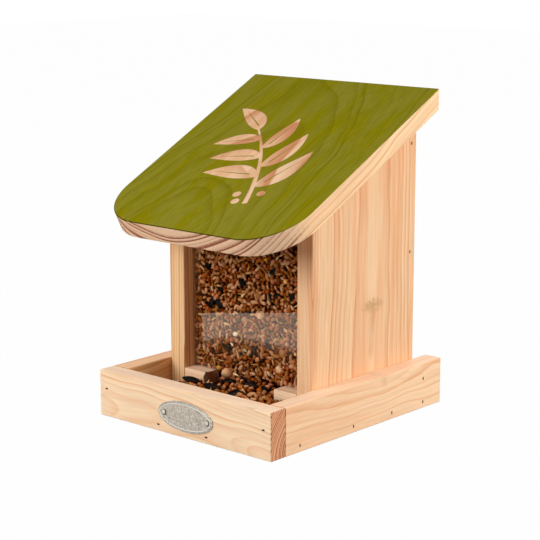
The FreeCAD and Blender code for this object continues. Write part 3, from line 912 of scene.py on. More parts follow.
class SeedScatter:
    """Geometry Nodes that strew mixed seed over a surface, no two closer than a set spacing."""

    INPUTS = {
        "Surface": "Geometry",
        "Seed Kinds": "Collection",
        **dict.fromkeys(("Spacing", "Tilt", "Palest Tint", "Size"), "Float"),
        "Draw": "Int",
        "Finish": "Material",
    }
    # Points tried on a square as wide as the spacing, before those too close together are dropped.
    CROWD = 4.0
    GROWTH: Point2 = (0.7, 1.2)

    def __init__(self, name: str, mix: Sequence[float], finish: bpy.types.Material) -> None:
        """Build the tree for one mix.

        Args:
            name: The tree's name.
            mix: The share of each kind of seed, in the order of SEED_KINDS.
            finish: The material of the seed.
        """
        self.mix = mix
        self.finish = finish
        self.kinds = bpy.data.collections.new(name + "_kinds")
        for number, kind in enumerate(SEED_KINDS):
            self.kinds.objects.link(bpy.data.objects.new(f"{number:02d}_{kind.name}", kind.mesh()))
        self.tree = bpy.data.node_groups.new(name, "GeometryNodeTree")
        self.wiring = Wiring(self.tree)
        self.sockets = self.wiring.sockets("INPUT", self.INPUTS)
        self.wiring.sockets("OUTPUT", {"Seed": "Geometry"})
        self.given = self.wiring.node("NodeGroupInput").outputs
        self.build()

    def draw(self, what: SeedDraw, low: Any, high: Any, kind: str = "FLOAT") -> Socket:
        """Draw a random value for each seed.

        Args:
            what: What the value is for.
            low: The least value.
            high: The greatest value.
            kind: FLOAT or FLOAT_VECTOR.

        Returns:
            The drawn value.
        """
        # The node's sockets for a plain number come after those for a vector.
        first, result = (0, 0) if kind == "FLOAT_VECTOR" else (2, 1)
        number = self.wiring.plus(self.given["Draw"], float(what.value))
        inputs = {first: low, first + 1: high, "Seed": number}
        return self.wiring.node("FunctionNodeRandomValue", inputs, data_type=kind).outputs[result]

    def kind_number(self) -> Socket:
        """Pick a kind for each seed by the mix.

        Returns:
            The number of the kind.
        """
        chance = self.draw(SeedDraw.KIND, 0.0, sum(self.mix))
        number = self.wiring.math("GREATER_THAN", chance, self.mix[0])
        for last in range(1, len(self.mix) - 1):
            passed = self.wiring.math("GREATER_THAN", chance, sum(self.mix[:last + 1]))
            number = self.wiring.plus(number, passed)
        return number

    def store(self, points: Socket, name: str, value: Socket) -> Socket:
        """Keep a value on each point under a name."""
        inputs = {"Geometry": points, "Name": name, "Value": value}
        return self.wiring.node("GeometryNodeStoreNamedAttribute", inputs, data_type="FLOAT").outputs[0]

    def stored(self, name: str) -> Socket:
        """Read a named value back."""
        node = self.wiring.node("GeometryNodeInputNamedAttribute", {"Name": name}, data_type="FLOAT")
        return node.outputs["Attribute"]

    def build(self) -> None:
        """Wire the tree from the surface to the finished seed."""
        wiring = self.wiring
        spacing = self.given["Spacing"]
        tilt = self.given["Tilt"]
        strewn = wiring.node("GeometryNodeDistributePointsOnFaces", {
            "Mesh": self.given["Surface"],
            "Distance Min": spacing,
            "Density Max": wiring.math("DIVIDE", self.CROWD, wiring.times(spacing, spacing)),
            "Density Factor": self.stored("strew"),
            "Seed": self.given["Draw"],
        }, distribute_method="POISSON").outputs
        points = self.store(strewn["Points"], "seed_kind", self.kind_number())
        points = self.store(points, "seed_tint", self.draw(SeedDraw.TINT, 0.0, self.given["Palest Tint"]))
        back = wiring.times(tilt, -1.0)
        least = wiring.xyz(back, back, 0.0)
        most = wiring.xyz(tilt, tilt, 2 * math.pi)
        spin = self.draw(SeedDraw.TURN, least, most, "FLOAT_VECTOR")
        turn = wiring.node("FunctionNodeEulerToRotation", {"Euler": spin}).outputs["Rotation"]
        inputs = {"Rotation": strewn["Rotation"], "Rotate By": turn}
        laid = wiring.node("FunctionNodeRotateRotation", inputs, rotation_space="LOCAL").outputs["Rotation"]
        kinds = wiring.node("GeometryNodeCollectionInfo", {
            "Collection": self.given["Seed Kinds"],
            "Separate Children": True,
            "Reset Children": True,
        }).outputs["Instances"]
        placed = wiring.node("GeometryNodeInstanceOnPoints", {
            "Points": points,
            "Instance": kinds,
            "Pick Instance": True,
            "Instance Index": self.stored("seed_kind"),
            "Rotation": laid,
            "Scale": wiring.times(self.draw(SeedDraw.GROWTH, *self.GROWTH), self.given["Size"]),
        }).outputs["Instances"]
        solid = wiring.node("GeometryNodeRealizeInstances", {"Geometry": placed}).outputs["Geometry"]
        smooth = wiring.node("GeometryNodeSetShadeSmooth", {"Geometry": solid}).outputs["Geometry"]
        inputs = {"Geometry": smooth, "Material": self.given["Finish"]}
        finished = wiring.node("GeometryNodeSetMaterial", inputs).outputs["Geometry"]
        wiring.node("NodeGroupOutput", {"Seed": finished})

    def strew(self, surface: bpy.types.Mesh, spacing: float, tilt: float, size: float, draw: int,
              palest: float = 1.0) -> bpy.types.Mesh:
        """Strew seed over a surface.

        Args:
            surface: The mesh to strew on, with its share of seed in the attribute strew.
            spacing: The least distance between two seeds' middles.
            tilt: How far a seed may tip out of the surface, in radians.
            size: How large the seed is, where 1 is its plain size.
            draw: The seed of every random draw.
            palest: The palest tint a seed may have, 0 to 1.

        Returns:
            A plain mesh of the strewn seed.
        """
        bed = new_piece("seed_bed", surface)
        modifier = bed.modifiers.new("strew", "NODES")
        modifier.node_group = self.tree
        values = {
            "Seed Kinds": self.kinds,
            "Spacing": spacing,
            "Tilt": tilt,
            "Palest Tint": palest,
            "Size": size,
            "Draw": draw,
            "Finish": self.finish,
        }
        for name, value in values.items():
            modifier[self.sockets[name]] = value
        graph = bpy.context.evaluated_depsgraph_get()
        mesh = bpy.data.meshes.new_from_object(
            bed.evaluated_get(graph), preserve_all_data_layers=True, depsgraph=graph)
        bed.modifiers.remove(modifier)
        bpy.data.objects.remove(bed)
        mesh.materials.clear()
        mesh.materials.append(self.finish)
        mesh.polygons.foreach_set("material_index", [0] * len(mesh.polygons))
        return mesh


def sheet_of(levels: Sequence[PlaceAt], across: Sequence[float], along: Sequence[float],
             share: HeightAt = lambda a, b: 1.0) -> bpy.types.Mesh:
    """Make one or more curved sheets over the same grid, to strew seed on.

    Args:
        levels: For each sheet, the place of a grid point.
        across: The grid's first coordinates.
        along: The grid's second coordinates.
        share: How much of the seed a grid point gets, 0 to 1.

    Returns:
        A mesh with the attribute strew.
    """
    points, faces, shares = [], [], []
    for level in levels:
        first = len(points)
        for a in across:
            for b in along:
                points.append(level(a, b))
                shares.append(share(a, b))
        for i in range(len(across) - 1):
            for j in range(len(along) - 1):
                corner = first + i * len(along) + j
                faces.append([corner, corner + len(along), corner + len(along) + 1, corner + 1])
    mesh = bpy.data.meshes.new("sheet")
    mesh.from_pydata(points, [], faces)
    return keep_numbers(mesh, "strew", shares)


def mark_seed(mesh: bpy.types.Mesh, kind: str, tint: float) -> None:
    """Tell a mesh's points which kind of seed they are, and how pale.

    Args:
        mesh: The mesh to mark.
        kind: The name of the kind.
        tint: How pale it is, 0 to 1.
    """
    for name, value in (("seed_kind", float(SeedKind.number(kind))), ("seed_tint", tint)):
        keep_numbers(mesh, name, [value] * len(mesh.vertices))


def paint_shade_by_depth(mesh: bpy.types.Mesh, depth: Callable[[Vector], float]) -> bpy.types.Mesh:
    """Tell a mesh's points how deep they lie in the seed, for painted shade where little light comes, and
    return it.
    """
    return keep_numbers(mesh, "seed_depth", [depth(vertex.co) for vertex in mesh.vertices])


def heap_core(height: HeightAt, across: Sequence[float], along: Sequence[float], foot: float,
              finish: bpy.types.Material) -> bpy.types.Mesh:
    """Make the solid middle of a heap of seed, coloured as the darkest hemp for painted shade between the
    seeds.

    Args:
        height: The top of the core at a grid point.
        across: The grid's places along X.
        along: The grid's places along Y.
        foot: The height of its underside.
        finish: The material of the seed.

    Returns:
        A closed mesh.
    """
    work = bmesh.new()
    grid = [[work.verts.new((a, b, height(a, b))) for b in along] for a in across]
    for i in range(len(across) - 1):
        for j in range(len(along) - 1):
            work.faces.new((grid[i][j], grid[i + 1][j], grid[i + 1][j + 1], grid[i][j + 1]))
    lowered = bmesh.ops.extrude_face_region(work, geom=work.faces[:])["geom"]
    for item in lowered:
        if isinstance(item, bmesh.types.BMVert):
            item.co.z = foot
    bmesh.ops.recalc_face_normals(work, faces=work.faces[:])
    mesh = settled(work, "core", finish)
    # Painted shade: the core takes hemp's darkest tint, so the gaps between seeds look shaded.
    mark_seed(mesh, "hemp", 0.0)
    return mesh


def joined(meshes: Sequence[bpy.types.Mesh], name: str) -> bpy.types.Mesh:
    """Join meshes of one finish into one.

    Args:
        meshes: The meshes, which are used up.
        name: The new mesh's name.

    Returns:
        The joined mesh.
    """
    work = bmesh.new()
    for mesh in meshes:
        work.from_mesh(mesh)
    result = settled(work, name, meshes[0].materials[0])
    for mesh in meshes:
        bpy.data.meshes.remove(mesh)
    return result


def held_in(mesh: bpy.types.Mesh, low: Point3, high: Point3) -> bpy.types.Mesh:
    """Press seed flat where it would reach into a wall.

    Args:
        mesh: The seed.
        low: The lowest corner of the space that holds it.
        high: The highest corner.

    Returns:
        The same mesh.
    """
    for vertex in mesh.vertices:
        vertex.co = [min(max(value, least), most) for value, least, most in zip(vertex.co, low, high)]
    return mesh


def fill_base(name: str, mesh: bpy.types.Mesh) -> None:
    """Make seed a piece that rides on the base, and report it."""
    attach(new_piece(name, mesh), "base")
    LOG.info("built %s with %d faces", name, len(mesh.polygons))


@dataclass
class SiloSeed:
    """The seed that fills the silo: what shows behind the pane, and its top under the roof."""

    spacing: float = 2.7 * MM
    size: float = 0.94
    layer: float = 2.0 * MM
    # Painted shade: each deeper layer of seed is held to a darker palest tint.
    layer_tints: tuple[float, ...] = (1.0, 0.75, 0.5)
    pane_tilt: float = math.radians(16)
    pane_draw: int = 11
    pane_gap: float = 1.8 * MM
    foot_gap: float = 1.0 * MM
    wall_gap: float = 0.9 * MM
    face_steps: int = 24
    top_tilt: float = math.radians(35)
    top_draw: int = 23
    top_gap: float = 2.5 * MM
    lit_above: float = 2.0 * MM
    top_steps: int = 20
    clearance: float = 0.1 * MM
    fill_front: float = 163 * MM
    fill_rise: float = 10 * MM
    fill_crest: float = 0.7
    wave_height: float = 1.5 * MM
    wave_across: float = 17 * MM
    wave_along: float = 23 * MM
    core_front: float = 5.8 * MM
    core_gap: float = 0.5 * MM
    core_foot: float = 0.3 * MM
    core_drop: float = 4.0 * MM
    core_steps: tuple[int, int] = (16, 12)

    def __post_init__(self) -> None:
        """Read the silo's inside from the frame."""
        pane_low, pane_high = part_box("window_pane")
        self.front = pane_high.y
        self.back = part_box("back_panel")[0].y
        self.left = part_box("left_side_panel")[1].x
        self.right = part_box("right_side_panel")[0].x
        self.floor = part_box("floor_board")[1].z
        self.foot = pane_low.z
        self.across = steps(self.left + self.wall_gap, self.right - self.wall_gap, self.face_steps)

    def space(self) -> tuple[Point3, Point3]:
        """The corners of the space between the pane, the sides, the back and the floor."""
        low = (self.left + self.clearance, self.front + self.clearance, self.floor + self.clearance)
        return low, (self.right - self.clearance, self.back - self.clearance, math.inf)

    def top(self, x: float, y: float) -> float:
        """Shape the seed's top in the silo.

        Args:
            x: Place across the feeder.
            y: Place from front to back.

        Returns:
            The height there.
        """
        back = smooth_step(y, self.front, self.back)
        wave = self.wave_height * math.sin(x / self.wave_across) * math.cos(y / self.wave_along)
        return self.fill_front + self.fill_rise * math.sin(math.pi * back * self.fill_crest) + wave

    def build(self, scatter: SeedScatter) -> None:
        """Build the seed behind the pane and the seed on top."""
        fill_base("silo_seed", self.behind_pane(scatter))
        fill_base("silo_seed_top", self.on_top(scatter))

    def behind_pane(self, scatter: SeedScatter) -> bpy.types.Mesh:
        """Strew the seed that shows behind the pane, layer by layer, before a solid core.

        Args:
            scatter: What strews the seed.

        Returns:
            The seed's mesh.
        """
        upward = steps(self.foot + self.foot_gap, self.fill_front, self.face_steps)
        parts = []
        for number, palest in enumerate(self.layer_tints):
            wall = self.front + self.pane_gap + self.layer * number
            face = sheet_of([lambda x, z, y=wall: Vector((x, y, z))], self.across, upward)
            draw = self.pane_draw + number
            strewn = scatter.strew(face, self.spacing, self.pane_tilt, self.size, draw, palest)
            parts.append(held_in(strewn, *self.space()))
        wide, deep = self.core_steps
        parts.append(heap_core(
            lambda x, y: self.top(x, y) - self.core_drop,
            steps(self.left + self.core_gap, self.right - self.core_gap, wide),
            steps(self.front + self.core_front, self.back - self.core_gap, deep),
            self.floor + self.core_foot, scatter.finish))
        return paint_shade_by_depth(joined(parts, "silo_seed"), lambda place: place.y - self.front)

    def on_top(self, scatter: SeedScatter) -> bpy.types.Mesh:
        """Strew the seed that shows when the roof is open.

        Args:
            scatter: What strews the seed.

        Returns:
            The seed's mesh.
        """
        inward = steps(self.front + self.top_gap, self.back - self.wall_gap, self.top_steps)
        levels = [lambda x, y, d=d: Vector((x, y, self.top(x, y) - d)) for d in (0.0, self.layer)]
        bed = sheet_of(levels, self.across, inward)
        strewn = scatter.strew(bed, self.spacing, self.top_tilt, self.size, self.top_draw)
        seed = held_in(strewn, *self.space())
        return paint_shade_by_depth(seed, lambda place: self.top(place.x, place.y) + self.lit_above - place.z)


@dataclass(frozen=True)
class LaidSeed:
    """A larger seed that lies on the heap, in millimetres and degrees."""

    kind: str
    place: Point2
    heading: float = 0.0
    lift: float = 0.4
    size: float = 1.0
    tint: float = 0.5
    tilt: float = 0.0

    def mesh(self, height: HeightAt) -> bpy.types.Mesh:
        """Lay the seed on the heap.

        Args:
            height: The height of the heap's top at a place, in metres.

        Returns:
            The seed's own mesh, in place.
        """
        kind = SEED_KINDS[SeedKind.number(self.kind)]
        mesh = kind.mesh()
        x, y = (value * MM for value in self.place)
        middle = Vector((x, y, height(x, y) + self.lift * MM))
        tipped = Matrix.Rotation(math.radians(self.tilt), 4, "Y") @ Matrix.Scale(self.size, 4)
        turned = Matrix.Rotation(math.radians(self.heading), 4, "Z") @ tipped
        mesh.transform(Matrix.Translation(middle) @ turned)
        mesh.polygons.foreach_set("use_smooth", [kind.smooth] * len(mesh.polygons))
        mark_seed(mesh, self.kind, self.tint)
        return mesh


@dataclass
class TraySeed:
    """The seed that has run out under the pane and lies in the front of the tray."""

    laid: tuple[LaidSeed, ...] = (
        LaidSeed("sunflower", (-29.5, -60), heading=20, lift=3.4, size=1.3, tilt=8),
        LaidSeed("sunflower", (-6, -62), heading=20, lift=2.4, size=1.25, tilt=8),
        LaidSeed("sunflower", (18, -63), heading=86, lift=2.0, size=1.2),
        LaidSeed("sunflower", (-5.5, -44), heading=41, lift=1.6, size=1.05),
        LaidSeed("sunflower", (-1, -33), heading=-12),
        LaidSeed("sunflower", (11, -36), heading=-22),
        LaidSeed("sunflower", (21, -35), heading=-10),
        LaidSeed("dried_fruit", (-15.5, -52.5), heading=20, lift=3.6, size=1.1),
        LaidSeed("pea", (-12.5, -38.5), lift=5.6, size=1.25, tint=0.65),
        LaidSeed("straw", (-5, -37), heading=-20, lift=5.0, size=1.3, tint=0.9),
    )
    spacing: float = 4.2 * MM
    size: float = 1.18
    tilt: float = math.radians(55)
    first_draw: int = 31
    layer: float = 2.6 * MM
    # Painted shade: the lower layer of the heap is held to a darker palest tint.
    layer_tints: tuple[float, ...] = (0.95, 0.45)
    least_layer: float = 1.0 * MM
    wall_gap: float = 2.8 * MM
    bed_height: float = 17 * MM
    bed_slope: Point2 = (12 * MM, 2 * MM)
    bed_dip: float = 0.28
    dip_edge: Point2 = (16 * MM, 36 * MM)
    bed_steps: tuple[int, int] = (56, 18)
    least_height: float = 1.2 * MM
    left_end: float = -68 * MM
    left_full: float = -42 * MM
    outlet_height: float = 18.5 * MM
    outlet_spread: float = 32 * MM
    outlet_reach: float = 3.0 * MM
    outlet_steps: tuple[int, int] = (28, 6)
    wave_height: float = 1.2 * MM
    wave_across: float = 9 * MM
    wave_along: float = 7 * MM
    wave_start: float = 1.0
    stray_share: float = 0.035
    stray_edge: Point2 = (2.0 * MM, 4.5 * MM)
    core_drop: float = 4.2 * MM
    core_least: float = 0.3 * MM
    core_foot: float = 0.1 * MM
    lit_above: float = 1.6 * MM
    # Painted shade: how much faster the tray's seed darkens with depth.
    darkening: float = 2.1

    def __post_init__(self) -> None:
        """Read the tray's inside and the outlet from the frame."""
        self.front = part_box("front_rail")[1].y
        self.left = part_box("left_rail")[1].x
        self.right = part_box("right_rail")[0].x
        self.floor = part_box("floor_board")[1].z
        self.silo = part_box("left_window_block")[0].y
        self.outlet_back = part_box("window_pane")[1].y + self.outlet_reach
        self.outlet_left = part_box("left_window_block")[1].x
        self.outlet_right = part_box("right_window_block")[0].x

    def height(self, x: float, y: float) -> float:
        """Shape the heap.

        Args:
            x: Place across the feeder.
            y: Place from front to back.

        Returns:
            The height above the tray's floor there.
        """
        foot, head = self.bed_slope
        out = smooth_step(y, self.front + foot, self.silo - head)
        tongue = math.exp(-(x / self.outlet_spread) ** 2) * out
        bed = self.bed_height * smooth_step(x, self.left_end, self.left_full)
        bed *= 1 - self.bed_dip * smooth_step(abs(x), *self.dip_edge) * out
        wave = self.wave_height * math.sin(x / self.wave_across + self.wave_start)
        wave *= math.sin(y / self.wave_along)
        return max(self.least_height, bed + (self.outlet_height - self.bed_height) * tongue + wave)

    def top(self, x: float, y: float) -> float:
        """Height of the heap's top in the feeder's frame."""
        return self.floor + self.height(x, y)

    def share(self, x: float, y: float) -> float:
        """How much seed lies at a place, which thins out where the heap runs out."""
        return self.stray_share + (1 - self.stray_share) * smooth_step(self.height(x, y), *self.stray_edge)

    def depth(self, place: Vector) -> float:
        """How deep a place lies in the heap, for painted shade that darkens faster than the silo's."""
        return self.darkening * (self.top(place.x, place.y) + self.lit_above - place.z)

    def beds(self) -> list[tuple[list[float], list[float]]]:
        """Lay out the grids of the heap in the tray and of the tongue in the outlet.

        Returns:
            The places across and from front to back, for each of the two.
        """
        gap = self.wall_gap
        wide, deep = self.bed_steps
        across = steps(self.left + gap, self.right - gap, wide)
        forward = steps(self.front + gap, self.silo - gap, deep)
        wide, deep = self.outlet_steps
        tongue = steps(self.outlet_left + gap, self.outlet_right - gap, wide)
        inward = steps(self.silo - gap, self.outlet_back, deep)
        return [(across, forward), (tongue, inward)]

    def build(self, scatter: SeedScatter) -> None:
        """Build the heap in the tray, the tongue in the outlet and the larger seeds on top.

        Args:
            scatter: What strews the seed.
        """
        parts = []
        beds = self.beds()
        for number, (wide, deep) in enumerate(beds):
            for layer, palest in enumerate(self.layer_tints):
                drop = self.layer * layer
                least = self.floor + self.least_layer
                level = [lambda x, y, d=drop: Vector((x, y, max(least, self.top(x, y) - d)))]
                bed = sheet_of(level, wide, deep, self.share)
                draw = self.first_draw + number + len(beds) * layer
                parts.append(scatter.strew(bed, self.spacing, self.tilt, self.size, draw, palest))
            parts.append(heap_core(
                lambda x, y: max(self.floor + self.core_least, self.top(x, y) - self.core_drop),
                wide, deep, self.floor + self.core_foot, scatter.finish))
        parts.extend(seed.mesh(self.top) for seed in self.laid)
        fill_base("tray_seed", paint_shade_by_depth(joined(parts, "tray_seed"), self.depth))


@dataclass
class Leaf:
    """One pointed leaf of the sprig, in millimetres on the roof's top."""

    foot: Vector
    heading: float
    length: float
    width: float
    belly: float = 0.8
    fullness: float = 0.9
    curve: float = 0.35
    edge_steps: int = 12
    rib_start: float = 0.16
    rib_end: float = 0.82
    rib_width: float = 1.3
    rib_tip: float = 0.2

    def point(self, share: float, side: float) -> Point2:
        """Place a point of the leaf.

        Args:
            share: Its share of the length.
            side: Its distance to the side.

        Returns:
            The place on the roof.
        """
        heading = self.heading + self.curve * (share - 0.5)
        along = Vector((math.cos(heading), math.sin(heading)))
        return tuple(self.foot + along * share * self.length + along.orthogonal() * side)

    def outline(self) -> list[Point2]:
        """Draw the leaf's edge.

        Returns:
            The closed outline, point by point.
        """
        right, left = [], []
        for share in steps(0.0, 1.0, self.edge_steps):
            swell = self.width / 2 * math.sin(math.pi * share ** self.belly) ** self.fullness
            right.append(self.point(share, -swell))
            left.append(self.point(share, swell))
        return right + left[-2:0:-1]

    def rib(self) -> list[Point2]:
        """Draw the thin midrib that stays stained.

        Returns:
            The closed outline.
        """
        foot, tip = self.rib_width / 2, self.rib_tip / 2
        ends = ((self.rib_start, -foot), (self.rib_end, -tip), (self.rib_end, tip), (self.rib_start, foot))
        return [self.point(share, side) for share, side in ends]


@dataclass
class LeafSprig:
    """A sprig of leaves and berries left bare on the stained roof, in millimetres.

    A share is a place along the stem. Each berry has its share and its distance to the side.
    """

    start: Point2 = (30.0, 40.0)
    bend: Point2 = (12.0, 92.0)
    end: Point2 = (-30.0, 132.0)
    stem_foot: float = 4.2
    stem_tip: float = 1.6
    stem_steps: int = 24
    nudge: float = 0.01
    leaf_count: int = 6
    leaf_length: float = 58.0
    leaf_width: float = 20.0
    leaf_spread: float = math.radians(56)
    first_leaf: float = 0.2
    leaf_stretch: float = 0.75
    leaf_shrink: float = 0.35
    tip_leaf: float = 0.97
    tip_leaf_size: float = 0.8
    berries_at: tuple[Point2, ...] = ((0.04, 9.0), (0.1, -9.5), (0.13, 10.5))
    berry_size: float = 3.4
    berry_sides: int = 20

    def stem_point(self, share: float) -> Vector:
        """Place a point on the stem's line."""
        first, middle, last = (Vector(point) for point in (self.start, self.bend, self.end))
        return first * (1 - share) ** 2 + middle * 2 * share * (1 - share) + last * share ** 2

    def stem_heading(self, share: float) -> float:
        """The stem's direction at a share of its length."""
        ahead = self.stem_point(share + self.nudge) - self.stem_point(share - self.nudge)
        return math.atan2(ahead.y, ahead.x)

    def beside_stem(self, share: float, away: float) -> Vector:
        """Place a point at a distance to the left of the stem's line."""
        heading = self.stem_heading(share)
        return self.stem_point(share) + Vector((-math.sin(heading), math.cos(heading))) * away

    def stem(self) -> list[Point2]:
        """Draw the tapered stem.

        Returns:
            The closed outline.
        """
        right, left = [], []
        for share in steps(0.0, 1.0, self.stem_steps):
            half = (self.stem_foot + (self.stem_tip - self.stem_foot) * share) / 2
            right.append(tuple(self.beside_stem(share, -half)))
            left.append(tuple(self.beside_stem(share, half)))
        return right + left[::-1]

    def leaf(self, share: float, turn: float, size: float) -> Leaf:
        """Set one leaf on the stem.

        Args:
            share: Where it sits.
            turn: How far it turns away from the stem.
            size: How large it is, where 1 is full size.

        Returns:
            The leaf.
        """
        heading = self.stem_heading(share) + turn
        return Leaf(self.stem_point(share), heading, self.leaf_length * size, self.leaf_width * size)

    def leaves(self) -> list[Leaf]:
        """Set the leaves along the stem, right and left in turn.

        Returns:
            The leaves, with one at the tip.
        """
        made = []
        for number in range(self.leaf_count):
            share = self.first_leaf + self.leaf_stretch * number / self.leaf_count
            side = 1 if number % 2 else -1
            made.append(self.leaf(share, side * self.leaf_spread, 1.0 - self.leaf_shrink * share))
        return made + [self.leaf(self.tip_leaf, 0.0, self.tip_leaf_size)]

    def berries(self) -> list[list[Point2]]:
        """Draw the round berries near the stem's foot.

        Returns:
            One closed outline for each berry.
        """
        made = []
        turns = [2 * math.pi * number / self.berry_sides for number in range(self.berry_sides)]
        for share, away in self.berries_at:
            middle = self.beside_stem(share, away)
            made.append([
                (middle.x + self.berry_size * math.cos(turn), middle.y + self.berry_size * math.sin(turn))
                for turn in turns])
        return made


class RoofFinish(Enum):
    """The roof board's finishes, as the numbers of their material slots."""

    BARE = 0
    SPRIG = 1
    STAIN = 2


@dataclass
class RoofBoard:
    """The roof board: stained on top around a bare sprig, bare on its edges and underneath.

    Sizes are in millimetres. The ridge is the height of the top's rear edge before it is eased.
    """

    INSIDE_ONLY = 1

    thickness: float = 15.0
    half_width: float = 92.5
    front: float = -100.5
    rear: float = 83.5
    ridge: float = 248.53
    corner: float = 42.0
    corner_steps: int = 18
    chamfer: float = 0.6
    lower_chamfer: float = 0.8
    touching: float = 1e-4
    weld: float = 0.01
    sprig: LeafSprig = field(default_factory=LeafSprig)
    pine: PineFinish = PineFinish(
        "roof_pine", GrainRun.UP_THE_ROOF, pith=(-15, -155, 268), lean=(6, 0, 0),
        ring=4.2, wander=3.0, phase=0.35)

    def finishes(self) -> list[bpy.types.Material]:
        """Make the board's materials, all cut from the same place in the trunk.

        Returns:
            The materials in the order of RoofFinish.
        """
        bare = replace(
            self.pine, contrast=0.85,
            early_wood=paint(252, 218, 173), late_wood=paint(232, 176, 127), blush=paint(246, 204, 159),
            end_early_wood=paint(238, 198, 162), end_late_wood=paint(144, 78, 48))
        sprig = replace(
            self.pine, name="sprig_pine", contrast=1.6,
            early_wood=paint(232, 192, 152), late_wood=paint(198, 130, 84), blush=paint(222, 170, 126))
        stain = replace(
            self.pine, name="stained_roof_pine", contrast=0.75, fibre=0.5, tone_length=70.0,
            gloss=0.0, sheen=0.0,
            early_wood=paint(134, 127, 38), late_wood=paint(118, 111, 10), blush=paint(131, 123, 8),
            end_early_wood=paint(78, 74, 16), end_late_wood=paint(58, 54, 10))
        return [finish.material() for finish in (bare, sprig, stain)]

    def place(self, across: float, up: float, depth: float) -> Vector:
        """Turn a place on the board into one in the feeder's frame.

        Args:
            across: Distance from the middle, to the right.
            up: Distance up the slope from the front top edge.
            depth: Distance below the top.

        Returns:
            The place in metres.
        """
        front_top = self.ridge - (self.rear - self.front) * math.tan(ROOF_SLOPE)
        y = self.front + up * math.cos(ROOF_SLOPE) + depth * math.sin(ROOF_SLOPE)
        z = front_top + up * math.sin(ROOF_SLOPE) - depth * math.cos(ROOF_SLOPE)
        return Vector((across, y, z)) * MM

    def outline(self, depth: float, inset: float) -> list[Point2]:
        """Draw the board's edge at a depth.

        Args:
            depth: Distance below the top.
            inset: How far the edge is drawn in.

        Returns:
            The closed outline, across and up the slope.
        """
        rear_up = (self.rear - self.front - depth * math.sin(ROOF_SLOPE)) / math.cos(ROOF_SLOPE) - inset
        side = self.half_width - inset
        radius = self.corner - inset
        middle = self.half_width - self.corner
        points = [(side, rear_up), (-side, rear_up)]
        for sign, first in ((-1, 180), (1, 270)):
            for degrees in steps(first, first + 90, self.corner_steps):
                turn = math.radians(degrees)
                across = sign * middle + radius * math.cos(turn)
                points.append((across, self.corner + radius * math.sin(turn)))
        return points

    def top_faces(self, outline: list[Point2]) -> tuple[list[Point2], list[list[int]], list[RoofFinish]]:
        """Divide the top into stained wood and the bare sprig.

        Args:
            outline: The edge of the top.

        Returns:
            The points, the triangles, and the finish of each triangle.
        """
        leaves = self.sprig.leaves()
        bare = [self.sprig.stem()] + [leaf.outline() for leaf in leaves] + self.sprig.berries()
        ribs = [leaf.rib() for leaf in leaves]
        points, faces = [], []
        for loop in [outline] + bare + ribs:
            faces.append(list(range(len(points), len(points) + len(loop))))
            points.extend(Vector(point) for point in loop)
        places, _, triangles, _, _, sources = geometry.delaunay_2d_cdt(
            points, [], faces, self.INSIDE_ONLY, self.touching)
        finishes = []
        for inside in sources:
            in_sprig = any(1 <= source <= len(bare) for source in inside)
            in_rib = any(source > len(bare) for source in inside)
            finishes.append(RoofFinish.SPRIG if in_sprig and not in_rib else RoofFinish.STAIN)
        return [tuple(place) for place in places], triangles, finishes

    def build(self) -> None:
        """Build the board in place of its plain solid."""
        work = bmesh.new()
        depths = (0.0, self.chamfer, self.thickness - self.lower_chamfer, self.thickness)
        insets = (self.chamfer, 0.0, 0.0, self.lower_chamfer)
        loops = [self.outline(depth, inset) for depth, inset in zip(depths, insets)]
        rings = []
        for loop, depth in zip(loops, depths):
            rings.append([work.verts.new(self.place(*point, depth)) for point in loop])
        for level, (above, below) in enumerate(zip(rings, rings[1:])):
            finish = RoofFinish.BARE if level else RoofFinish.STAIN
            for face in band(work, above, below):
                face.material_index = finish.value
        work.faces.new(rings[-1])
        places, triangles, finishes = self.top_faces(loops[0])
        top = [work.verts.new(self.place(*place, 0.0)) for place in places]
        for triangle, finish in zip(triangles, finishes):
            work.faces.new([top[number] for number in triangle]).material_index = finish.value
        bmesh.ops.remove_doubles(work, verts=work.verts[:], dist=self.weld * MM)
        bmesh.ops.recalc_face_normals(work, faces=work.faces[:])
        mesh = settled(work, "stained_roof_board", *self.finishes())
        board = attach(new_piece("stained_roof_board", mesh), "roof")
        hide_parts("roof_board")
        LOG.info("built %s with %d faces", board.name, len(mesh.polygons))


@dataclass
class NailedBoards:
    """Boards that are nailed together: each field is the pine of the node that it is named after."""

    def dress(self) -> None:
        """Give each board its own pine."""
        for board in fields(self):
            dress([board.name], getattr(self, board.name).material())


@dataclass
class Tray(NailedBoards):
    """The tray: three rails and a floor."""

    front_rail: PineFinish = PineFinish(
        "front_rail_pine", GrainRun.ACROSS, pith=(0, -55, 9), lean=(0, 0, 3),
        ring=1.9, wander=1.6, contrast=0.8, gloss=0.25, sheen=0.3,
        knot=(86, -100, -2), knot_size=9, knot_bulge=9, knot_tint=0,
        early_wood=paint(252, 222, 185), late_wood=paint(236, 178, 126), blush=paint(247, 209, 170),
        end_early_wood=paint(229, 163, 114), end_late_wood=paint(138, 64, 34))
    left_rail: PineFinish = PineFinish(
        "left_rail_pine", GrainRun.FRONT_TO_BACK, pith=(-45, 0, 46),
        ring=3.0, wander=2.6, contrast=0.9, gloss=0.2, sheen=0.35,
        early_wood=paint(250, 201, 138), late_wood=paint(222, 140, 70), blush=paint(242, 177, 108))
    right_rail: PineFinish = PineFinish(
        "right_rail_pine", GrainRun.FRONT_TO_BACK, pith=(46, 0, 46),
        ring=3.0, wander=3.4, contrast=0.65, gloss=0.25, sheen=0.3,
        knot=(87.5, 28, 31), knot_size=5, knot_bulge=0.5, knot_tint=0.3, knot_narrow=0.7,
        early_wood=paint(252, 213, 171), late_wood=paint(235, 174, 124), blush=paint(246, 198, 154))
    floor_board: PineFinish = PineFinish(
        "floor_pine", GrainRun.FRONT_TO_BACK, pith=(20, 0, -60), lean=(1, 0, 0), ring=3.4)


